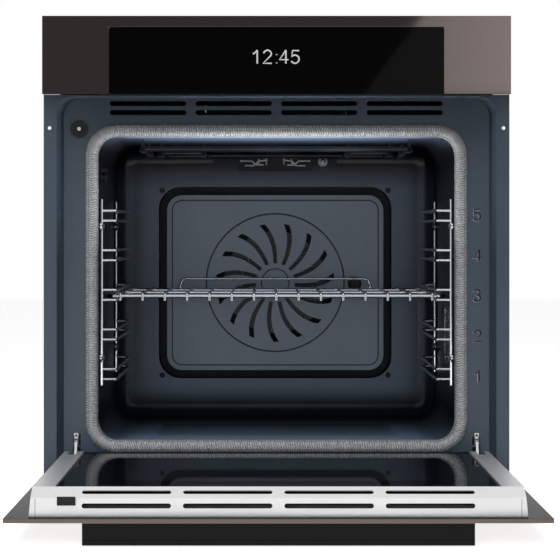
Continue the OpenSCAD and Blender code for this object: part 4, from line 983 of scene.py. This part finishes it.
def tubes(name: str, lines: Iterable[Iterable[Point]], width: float, finish: Finish) -> Object:
    """Builds round tubes along lines.

    Args:
        name: the piece's name.
        lines: the points of each tube's middle in millimetres.
        width: the tubes' diameter in millimetres.
        finish: their finish.

    Returns:
        The plain mesh object.
    """
    curve = bpy.data.curves.new(name, "CURVE")
    curve.dimensions = "3D"
    curve.bevel_depth = width / 2 * MM
    curve.bevel_resolution = 3
    curve.use_fill_caps = True
    for points in lines:
        places = [Vector(point) * MM for point in points]
        line = curve.splines.new("POLY")
        line.points.add(len(places) - 1)
        for target, place in zip(line.points, places):
            target.co = (*place, 1)
    made = bpy.data.objects.new(name + "_line", curve)
    bpy.context.scene.collection.objects.link(made)
    plain = frozen_mesh(made, name)
    plain.data.materials.clear()
    plain.data.materials.append(finish.material())
    return plain


def figures(name: str, text: str, height: float, stroke: float, relief: float, finish: Finish) -> Object:
    """Builds upright figures from round strokes pressed flat, facing the front.

    Args:
        name: the piece's name.
        text: the figures.
        height: their height along the strokes' middle in millimetres.
        stroke: the strokes' width in millimetres.
        relief: how far they stand from their middle plane in millimetres.
        finish: their finish.

    Returns:
        A mesh object centred on the origin.
    """
    unit = height / FIGURE_UNITS
    lines = []
    x = 0.0
    for letter in text:
        width, strokes = FIGURES[letter]
        lines += [[((x + u) * unit, 0, v * unit) for u, v in points] for points in strokes]
        x += width
    plain = tubes(name, lines, stroke, finish)
    low = Vector([min(v.co[i] for v in plain.data.vertices) for i in range(3)])
    high = Vector([max(v.co[i] for v in plain.data.vertices) for i in range(3)])
    plain.data.transform(Matrix.Translation(-(low + high) / 2))
    plain.data.transform(Matrix.Diagonal((1, relief * 2 / stroke, 1, 1)))
    return plain


# ---- sub-assemblies ----


class SubAssembly:
    """A group of the oven's parts, which dresses its CAD nodes and builds its own pieces."""

    def dress(self) -> None:
        """Gives its CAD nodes their finishes."""

    def build(self) -> None:
        """Makes its own pieces, where it has any."""


@dataclass
class Casing(SubAssembly):
    """Galvanised casing with its screws and spot welds."""

    screw_d: float = 7.5
    screw_h: float = 2.2
    edge: float = 7.0
    gaps: int = 4
    top_screw_y: tuple[int, ...] = (45, 200, 355, 505)
    weld_d: float = 6.0
    weld_y: tuple[int, ...] = (34, 528)
    weld_z: range = range(60, 480, 70)
    sides: tuple[str, ...] = ("base_panel", "side_panel_left", "side_panel_right", "rear_cover", "top_cover",
                              "front_bracket")

    def dress(self) -> None:
        """Gives the sheets and the mains terminal their finishes."""
        dress(GALVANISED, *self.sides)
        dress(BLACK_ABS, "terminal_box")

    def screw_spots(self) -> list[Spot]:
        """Sets out the screws round the rear cover and along the top.

        Returns:
            Their places.
        """
        low, high = box_mm("rear_cover")
        face = low.y + 1
        across = [low.x + self.edge + k * (high.x - low.x - 2 * self.edge) / self.gaps for k in range(self.gaps + 1)]
        up = [low.z + self.edge + k * (high.z - low.z - 2 * self.edge) / self.gaps for k in range(1, self.gaps)]
        spots = [Spot((x, face, z), (0, 1, 0)) for x in across for z in (low.z + self.edge, high.z - self.edge)]
        spots += [Spot((x, face, z), (0, 1, 0)) for z in up for x in (low.x + self.edge, high.x - self.edge)]
        top = box_mm("top_cover")[1]
        for y in self.top_screw_y:
            spots += [Spot((s * (top.x - self.edge), y, top.z), (0, 0, 1)) for s in (-1, 1)]
        return spots

    def weld_spots(self) -> list[Spot]:
        """Returns the places of the spot welds along the side panels."""
        side = box_mm("side_panel_right")[1].x
        return [Spot((s * side, y, z), (s, 0, 0)) for s in (-1, 1) for y in self.weld_y for z in self.weld_z]

    def build(self) -> None:
        """Makes the screws and the welds."""
        head = pan_head("screw_template", self.screw_d, self.screw_h, SPRING)
        hand_over(scattered("casing_screws", head, self.screw_spots(), SPRING), Body.OVEN)
        dimple = weld_dimple("weld_template", self.weld_d, GALVANISED)
        hand_over(scattered("casing_welds", dimple, self.weld_spots(), GALVANISED), Body.OVEN)


@dataclass
class FrontFrame(SubAssembly):
    """Enamelled front frame with its knitted seal and the shelf numbers."""

    number_x: float = 258.0
    number_h: float = 14.0
    number_stroke: float = 2.8
    number_z: tuple[float, ...] = (135.5, 186.9, 239.0, 291.1, 342.6)
    relief: float = 1.0
    seal_w: float = 15.5
    seal_r: float = 24.0
    stitch_step: float = 2.2
    yarn_r: float = 0.8
    crown_drop: float = 0.35
    # Each yarn's side of the crown, and the angles in degrees between which it shows
    legs: tuple[tuple[int, float, float], ...] = ((-1, 6, 58), (-1, 64, 92), (1, 38, 92), (1, 6, 24))
    lean: float = 0.045
    least_stretch: Point = (0.8, 0.985, 0.99)
    most_stretch: Point = (1.2, 1.0, 1.0)
    # A wider, lower copy of the numbers, moved down and to the left in a lighter enamel: painted highlights on the
    # figures' edges
    rim_stroke: float = 0.6
    rim_drop: float = 0.3
    rim_shift: float = 0.45

    def dress(self) -> None:
        """Gives the frame, the seal and the hinge parts their finishes."""
        dress(ENAMEL, "front_frame")
        dress(KNIT_CORE, "door_seal")
        dress(GALVANISED, "hinge_receivers")
        dress(ZINC, "hinge_arms", "hinge_latch_left", "hinge_latch_right")
        dress(BLACK_ABS, "door_switch")
        dress(WHITE_ABS, "switch_plunger")

    def numbers(self, name: str, stroke: float, relief: float, shift: float, finish: Finish) -> None:
        """Makes a set of pressed shelf numbers beside the cavity: once the numbers, once their painted highlights.

        Args:
            name: the piece's name.
            stroke: the width of the strokes.
            relief: how far they stand out.
            shift: how far they are moved down and to the left.
            finish: their finish.
        """
        face = box_mm("door_seal")[1].y
        bm = bmesh.new()
        for count, z in enumerate(self.number_z, start=1):
            figure = figures(f"figure_{count}", str(count), self.number_h, stroke, relief, finish)
            figure.data.transform(Matrix.Translation(Vector((self.number_x - shift, face, z - shift)) * MM))
            bm.from_mesh(figure.data)
            bpy.data.objects.remove(figure)
        bmesh.ops.scale(bm, vec=(1 / MM,) * 3, verts=bm.verts)
        hand_over(mesh_object(name, bm, finish.material()), Body.OVEN)

    def leg(self, bm: BMesh, hand: int, start: float, end: float, proud: float) -> None:
        """Adds one yarn that climbs over the seal's round.

        Args:
            bm: the stitch's mesh.
            hand: 1 on the cavity's side, -1 on the outer side.
            start: the angle of its first point, up from the frame, in degrees.
            end: the angle of its last point.
            proud: how far the yarn's middle stands out at the crown.
        """
        sides, section = 4, 12
        turns = [math.pi / sides + 2 * math.pi / sides * k for k in range(sides)]
        sections = max(2, round((end - start) / section))
        loops = []
        for i in range(sections + 1):
            angle = math.radians(start + (end - start) * i / sections)
            climb = 1 - angle / (math.pi / 2)
            centre = Vector((
                climb * self.stitch_step, hand * math.cos(angle) * self.seal_w / 2, math.sin(angle) * proud,
            ))
            out = Vector((0, hand * math.cos(angle), math.sin(angle)))
            loops.append([bm.verts.new(centre + (Vector((1, 0, 0)) * math.cos(a) + out * math.sin(a)) * self.yarn_r)
                          for a in turns])
        skin(bm, loops)
        bm.faces.new(loops[0])
        bm.faces.new(loops[-1])

    def stitch(self, proud: float) -> Object:
        """Builds one knitted stitch, with X along the seal and Z outwards.

        Args:
            proud: how far the yarn's middle stands out at the crown.

        Returns:
            The template.
        """
        bm = bmesh.new()
        for hand, start, end in self.legs:
            self.leg(bm, hand, start, end, proud)
        return mesh_object("stitch_template", bm, KNIT.material())

    def knitting(self) -> None:
        """Runs the knitted stitches round the seal's path."""
        low, high = box_mm("door_seal")
        width, base = self.seal_w, high.y
        half_w, half_h = (high.x - low.x - width) / 2, (high.z - low.z - width) / 2
        radius = self.seal_r + width / 2
        centre_z = (low.z + high.z) / 2
        path = []
        for quarter, (sx, sz) in enumerate(((1, 1), (-1, 1), (-1, -1), (1, -1))):
            for x, z in arc((sx * (half_w - radius), centre_z + sz * (half_h - radius)), (radius, radius),
                            90 * quarter, 90 * quarter + 90):
                path.append((x * MM, base * MM, z * MM))
        mesh = bpy.data.meshes.new("seal_path")
        mesh.from_pydata(path, [(i, (i + 1) % len(path)) for i in range(len(path))], [])
        length = 4 * (half_w + half_h - 2 * radius) + 2 * math.pi * radius
        values = {
            "Template": self.stitch(high.y - low.y - self.crown_drop), "Count": int(length / self.stitch_step),
            "Lean Low": -self.lean, "Lean High": self.lean, "Stretch Low": self.least_stretch,
            "Stretch High": self.most_stretch, "Finish": KNIT.material(),
        }
        knit = run_tree("seal_knitting", mesh, stitch_tree("stitch_tree"), values)
        hand_over(knit, Body.OVEN)

    def build(self) -> None:
        """Makes the numbers, their painted highlights and the knitting."""
        self.numbers("shelf_numbers", self.number_stroke, self.relief, 0.0, NUMBER_ENAMEL)
        self.numbers("shelf_number_rims", self.number_stroke + self.rim_stroke, self.relief - self.rim_drop,
                     self.rim_shift, HIGHLIGHT_ENAMEL)
        self.knitting()


@dataclass
class Cavity(SubAssembly):
    """Enamelled cavity with its heating elements, sensors and lamp."""

    clip_d: float = 3.0
    clip_z: float = 418.0
    # X of each bend of a clip's wire, and how far it is above clip_z
    clips: tuple[tuple[tuple[float, float], ...], ...] = (
        ((-51, 5.7), (-34, 5.7), (-28, 0), (-17, 0)),
        ((-44, -1), (-31, -1), (-24, 5.7), (-13, 6.7)),
        ((-26, 13.7), (-23, 8.7), (-25, 0)),
        ((-15, 13.7), (-12, 7.7), (-13, 0)),
    )

    def build(self) -> None:
        """Makes the sprung clips that hold the roof elements' ends on their flange."""
        y = box_mm("heater_flange")[0].y - self.clip_d / 2
        both = [[(s * x, y, self.clip_z + up) for x, up in line] for s in (1, -1) for line in self.clips]
        hand_over(tubes("element_clips", both, self.clip_d, CLIP_WIRE), Body.OVEN)

    def dress(self) -> None:
        """Gives the cavity's parts their finishes."""
        dress(MUFFLE_ENAMEL, "cavity_wrap")
        dress(BACK_ENAMEL, "cavity_back_wall")
        dress(CHAMBER_ENAMEL, "fan_chamber_pan")
        dress(WOOL, "insulation")
        dress(HEATER, "ring_heater", "grill_heater", "top_heater", "bottom_heater", "heater_hangers")
        dress(FLANGE, "heater_flange")
        dress(GALVANISED, "lamp_housing")
        dress(CHROME, "temperature_sensor")
        dress(BLACK_ABS, "probe_socket", "humidity_sensor", "probe_cap")
        dress(LAMP_GLASS, "lamp_lens", "lamp_bulb")


@dataclass
class ConvectionFan(SubAssembly):
    """Fan cover with swirled slots, fan wheel, shaft and motor."""

    # How far behind the fan cover's face its enamel starts to be darkened as painted shade
    coat_t: float = 0.25

    def dress(self) -> None:
        """Gives the fan's parts their finishes."""
        face = box_mm("fan_cover")[0].y
        dress(replace(COVER_ENAMEL, groove_from=face + self.coat_t), "fan_cover")
        dress(BLACK_ABS, "fan_cover_screws")
        dress(WHEEL_ENAMEL, "fan_wheel")
        dress(SHAFT, "fan_shaft")
        dress(MOTOR_Y, "fan_motor")


@dataclass
class Racks(SubAssembly):
    """Side racks, their studs and the wire shelf."""

    def dress(self) -> None:
        """Gives the wirework its chrome."""
        dress(CHROME, "side_rack_left", "side_rack_right", "wire_shelf")
        dress(ENAMEL, "rack_studs")


@dataclass
class ControlPanel(SubAssembly):
    """Coated-glass fascia with its display, clock and boards."""

    clock: str = "12:45"
    clock_h: float = 16.4
    clock_stroke: float = 2.0
    clock_at: tuple[float, float] = (-0.6, 543.0)
    print_t: float = 0.1
    edge_from: float = 0.3
    back_from: float = 2.8

    def dress(self) -> None:
        """Gives the panel's parts their finishes."""
        face = box_mm("control_fascia")[0].y
        glass = replace(BRONZE_FASCIA, face_end=face + self.edge_from, back_start=face + self.back_from)
        dress(glass, "control_fascia")
        dress(DISPLAY, "touch_display")
        dress(BLACK_ABS, "display_carrier")
        dress(BOARD, "power_board")

    def build(self) -> None:
        """Makes the clock's figures on the display."""
        face = box_mm("touch_display")[0].y
        clock = figures("clock_figures", self.clock, self.clock_h, self.clock_stroke, self.print_t, PRINT)
        clock.data.transform(Matrix.Translation(Vector((self.clock_at[0], face, self.clock_at[1])) * MM))
        hand_over(clock, Body.OVEN)


@dataclass
class Cooling(SubAssembly):
    """Blower and duct that cool the casing."""

    def dress(self) -> None:
        """Gives the blower's parts their finishes."""
        dress(GALVANISED, "blower_housing")
        # The duct's near-black colour is painted shade
        dress(SHADED_DUCT_SHEET, "air_duct")
        dress(PRESSED, "blower_rotor")
        dress(MOTOR_X, "blower_motor")


@dataclass
class Door(SubAssembly):
    """Drop-down door with its glass, rails, hinges and handle."""

    seam_in: float = 7.0
    seam_w: float = 0.5
    seam_proud: float = 0.05
    seam_depth: float = 1.0
    seam_clear: tuple[float, float] = (0.5, 12.0)
    coat_t: float = 0.3

    def dress(self) -> None:
        """Gives the door's parts their finishes."""
        low, high = box_mm("door_outer_glass")
        dress(replace(BRONZE_DOOR, face_end=low.z + self.coat_t, back_start=high.z - self.coat_t), "door_outer_glass")
        dress(PANE, "door_middle_panes")
        dress(INNER_PANE, "door_inner_glass")
        dress(BLACK_ABS, "pane_holders", "door_bottom_bar", "striker_block")
        dress(BLACK_LACQUER, "door_handle")
        dress(ANODISED, "door_rails", "door_top_bar")
        dress(ZINC, "door_hinges")
        dress(SPRING, "hinge_springs")

    def build(self) -> None:
        """Makes the seams between the top bar and its end caps."""
        low, high = box_mm("door_top_bar")
        bm = bmesh.new()
        for side in (-1, 1):
            x = side * (high.x - self.seam_in)
            add_block(bm, (x - self.seam_w / 2, low.y - self.seam_proud, low.z + self.seam_clear[0]),
                      (x + self.seam_w / 2, low.y + self.seam_depth, high.z - self.seam_clear[1]))
        hand_over(mesh_object("top_bar_seams", bm, BLACK_ABS.material()), Body.DOOR)


# ---- studio ----


def rectangle(half: float, low: float, high: float) -> list[tuple[float, float]]:
    """Returns the X and Z of an upright rectangle's corners, half its width to each side of X 0."""
    return [(-half, low), (half, low), (half, high), (-half, high)]


@dataclass
class Studio:
    """Pale floor, soft light and the camera."""

    eye: Point = (-13.7, -3122.0, 322.0)
    lens: float = 157.1
    shift: tuple[float, float] = (0.0254, -0.0875)
    floor_z: float = -19.0
    floor_size: float = 9000.0
    floor_lift: float = 0.75
    ambient: float = 0.14
    front_at: Point = (-200.0, -3500.0, 900.0)
    front_size: float = 2.0
    front_watts: float = 68.0
    top_at: Point = (-350.0, -1300.0, 2350.0)
    top_size: float = 1.8
    top_watts: float = 48.0
    aim: Point = (0.0, 0.0, 0.28)
    flag_y: float = -230.0
    flag_z: tuple[float, float] = (464.0, 700.0)
    strip_at: Point = (0.0, 30.0, 290.0)
    strip_size: tuple[float, float] = (0.3, 0.04)
    strip_watts: float = 1.1
    flag_x: float = 284.0
    wall_tone: str = "#696a6d"
    wall_x: float = 2500.0
    wall_y: float = -3900.0
    wall_z: tuple[float, float] = (-700.0, 2200.0)
    card_ends: tuple[float, float] = (0.75, 1.2)
    card_x: tuple[float, float, float] = (246.0, 425.0, 800.0)
    card_y: float = -3400.0
    card_z: tuple[float, float] = (682.0, 925.0)

    def camera(self) -> None:
        """Places the camera level in front of the oven."""
        data = bpy.data.cameras.new("camera")
        data.lens = self.lens
        data.sensor_width = 36
        data.shift_x, data.shift_y = self.shift
        camera = bpy.data.objects.new("camera", data)
        camera.location = Vector(self.eye) * MM
        camera.rotation_euler = (math.pi / 2, 0, 0)
        bpy.context.scene.collection.objects.link(camera)
        bpy.context.scene.camera = camera

    def glow(self, name: str, low: float, high: float, span: tuple[float, float]) -> Material:
        """Returns a white emitting material whose strength changes from left to right.

        Args:
            name: the material's name.
            low: the strength at the left end, where 1 is white.
            high: the strength at the right end.
            span: where the two ends are, in millimetres.

        Returns:
            The material.
        """
        made = bpy.data.materials.new(name)
        made.use_nodes = True
        tree = made.node_tree
        tree.nodes.clear()
        place = add_node(tree, "ShaderNodeTexCoord").outputs["Object"]
        across = add_node(tree, "ShaderNodeSeparateXYZ", inputs={0: place})
        strength = add_node(tree, "ShaderNodeMapRange", inputs={
            0: across.outputs[0], 1: span[0] * MM, 2: span[1] * MM, 3: low, 4: high,
        })
        light = add_node(tree, "ShaderNodeEmission", inputs={"Strength": strength.outputs[0]})
        add_node(tree, "ShaderNodeOutputMaterial", inputs={"Surface": light.outputs[0]})
        return made

    def card(self, name: str, y: float, corners: Iterable[tuple[float, float]], material: Material,
             shades: bool) -> None:
        """Stands a card in the studio that the camera doesn't see.

        Args:
            name: the card's name.
            y: its place along Y in millimetres.
            corners: the X and Z of its corners.
            material: its material.
            shades: True where it only keeps light off, False where it only shows in reflections.
        """
        bm = bmesh.new()
        bm.faces.new([bm.verts.new((x, y, z)) for x, z in corners])
        card = mesh_object(name, bm, material)
        card.visible_camera = card.visible_transmission = False
        card.visible_glossy = not shades
        card.visible_diffuse = card.visible_shadow = shades

    def surround(self) -> None:
        """Lights the scene evenly, with a white surround for the eye, for gloss and for glass."""
        world = bpy.data.worlds.new("surround")
        bpy.context.scene.world = world
        world.use_nodes = True
        tree = world.node_tree
        tree.nodes.clear()
        path = add_node(tree, "ShaderNodeLightPath").outputs
        seen = add_node(tree, "ShaderNodeMath", {"operation": "MAXIMUM"}, {
            0: path["Is Camera Ray"], 1: path["Is Transmission Ray"],
        })
        either = add_node(tree, "ShaderNodeMath", {"operation": "MAXIMUM"}, {
            0: seen.outputs[0], 1: path["Is Glossy Ray"],
        })
        strength = add_node(tree, "ShaderNodeMapRange", inputs={0: either.outputs[0], 3: self.ambient, 4: 1.0})
        glow = add_node(tree, "ShaderNodeBackground", inputs={"Strength": strength.outputs[0]})
        glow.inputs["Color"].default_value = linear("#ffffff")
        add_node(tree, "ShaderNodeOutputWorld", inputs={"Surface": glow.outputs[0]})

    def lamp(self, name: str, at: Point, size: float, watts: float) -> None:
        """Adds a soft square lamp aimed at the oven.

        Args:
            name: the lamp's name.
            at: its place in millimetres.
            size: its side in metres.
            watts: its power.
        """
        data = bpy.data.lights.new(name, "AREA")
        data.size = size
        data.energy = watts
        lamp = bpy.data.objects.new(name, data)
        lamp.location = Vector(at) * MM
        lamp.rotation_euler = (Vector(self.aim) - lamp.location).to_track_quat("-Z", "Y").to_euler()
        lamp.visible_glossy = False
        bpy.context.scene.collection.objects.link(lamp)

    def strip(self) -> None:
        """Adds a faint strip lamp that lifts the front edge of the cavity's roof."""
        data = bpy.data.lights.new("roof_strip", "AREA")
        data.shape = "RECTANGLE"
        data.size, data.size_y = self.strip_size
        data.energy = self.strip_watts
        lamp = bpy.data.objects.new("roof_strip", data)
        lamp.location = Vector(self.strip_at) * MM
        lamp.rotation_euler = (math.pi, 0, 0)
        lamp.visible_glossy = False
        bpy.context.scene.collection.objects.link(lamp)

    def cards(self) -> None:
        """Hangs the flag over the head of the frame, the dim wall and the reflector card."""
        cloth = Finish("black_flag_cloth", "#050505", roughness=1.0).material()
        self.card("lamp_flag", self.flag_y, rectangle(self.flag_x, *self.flag_z), cloth, True)
        level = linear(self.wall_tone)[0]
        wall = self.glow("dim_studio_wall", level, level, (-self.wall_x, self.wall_x))
        self.card("dim_wall", self.wall_y, rectangle(self.wall_x, *self.wall_z), wall, False)
        near, middle, far = self.card_x
        low, high = self.card_z
        pale = self.glow("reflector_card", *self.card_ends, (middle, far))
        self.card("reflector", self.card_y, [(near, low), (middle, high), (far, high), (far, low)], pale, False)

    def floor(self) -> None:
        """Lays the floor, whose own colour goes up to white where nothing shades it."""
        bm = bmesh.new()
        bmesh.ops.create_grid(bm, x_segments=1, y_segments=1, size=self.floor_size)
        bmesh.ops.translate(bm, vec=(0, 0, self.floor_z), verts=bm.verts)
        paint = Finish("pale_floor_paint", "#f4f4f4", roughness=0.95).material()
        tree = paint.node_tree
        shader = next(n for n in tree.nodes if n.type == "BSDF_PRINCIPLED")
        path = add_node(tree, "ShaderNodeLightPath").outputs
        seen = add_node(tree, "ShaderNodeMath", {"operation": "MAXIMUM"}, {
            0: path["Is Camera Ray"], 1: path["Is Transmission Ray"],
        })
        either = add_node(tree, "ShaderNodeMath", {"operation": "MAXIMUM"}, {
            0: seen.outputs[0], 1: path["Is Glossy Ray"],
        })
        lift = add_node(tree, "ShaderNodeMath", {"operation": "MULTIPLY"}, {0: either.outputs[0], 1: self.floor_lift})
        tree.links.new(lift.outputs[0], shader.inputs["Emission Strength"])
        shader.inputs["Emission Color"].default_value = linear("#ffffff")
        mesh_object("studio_floor", bm, paint)

    def build(self) -> None:
        """Builds the whole studio."""
        self.camera()
        self.surround()
        self.floor()
        self.lamp("front_lamp", self.front_at, self.front_size, self.front_watts)
        self.lamp("top_lamp", self.top_at, self.top_size, self.top_watts)
        self.strip()
        self.cards()


def main() -> None:
    """Builds each sub-assembly in order."""
    logging.basicConfig(level=logging.INFO, format="%(message)s")
    bpy.context.scene.view_settings.view_transform = "Standard"
    Studio().build()
    for part in (Casing(), FrontFrame(), Cavity(), ConvectionFan(), Racks(), ControlPanel(), Cooling(), Door()):
        part.dress()
        part.build()


if __name__ == "__main__":
    main()
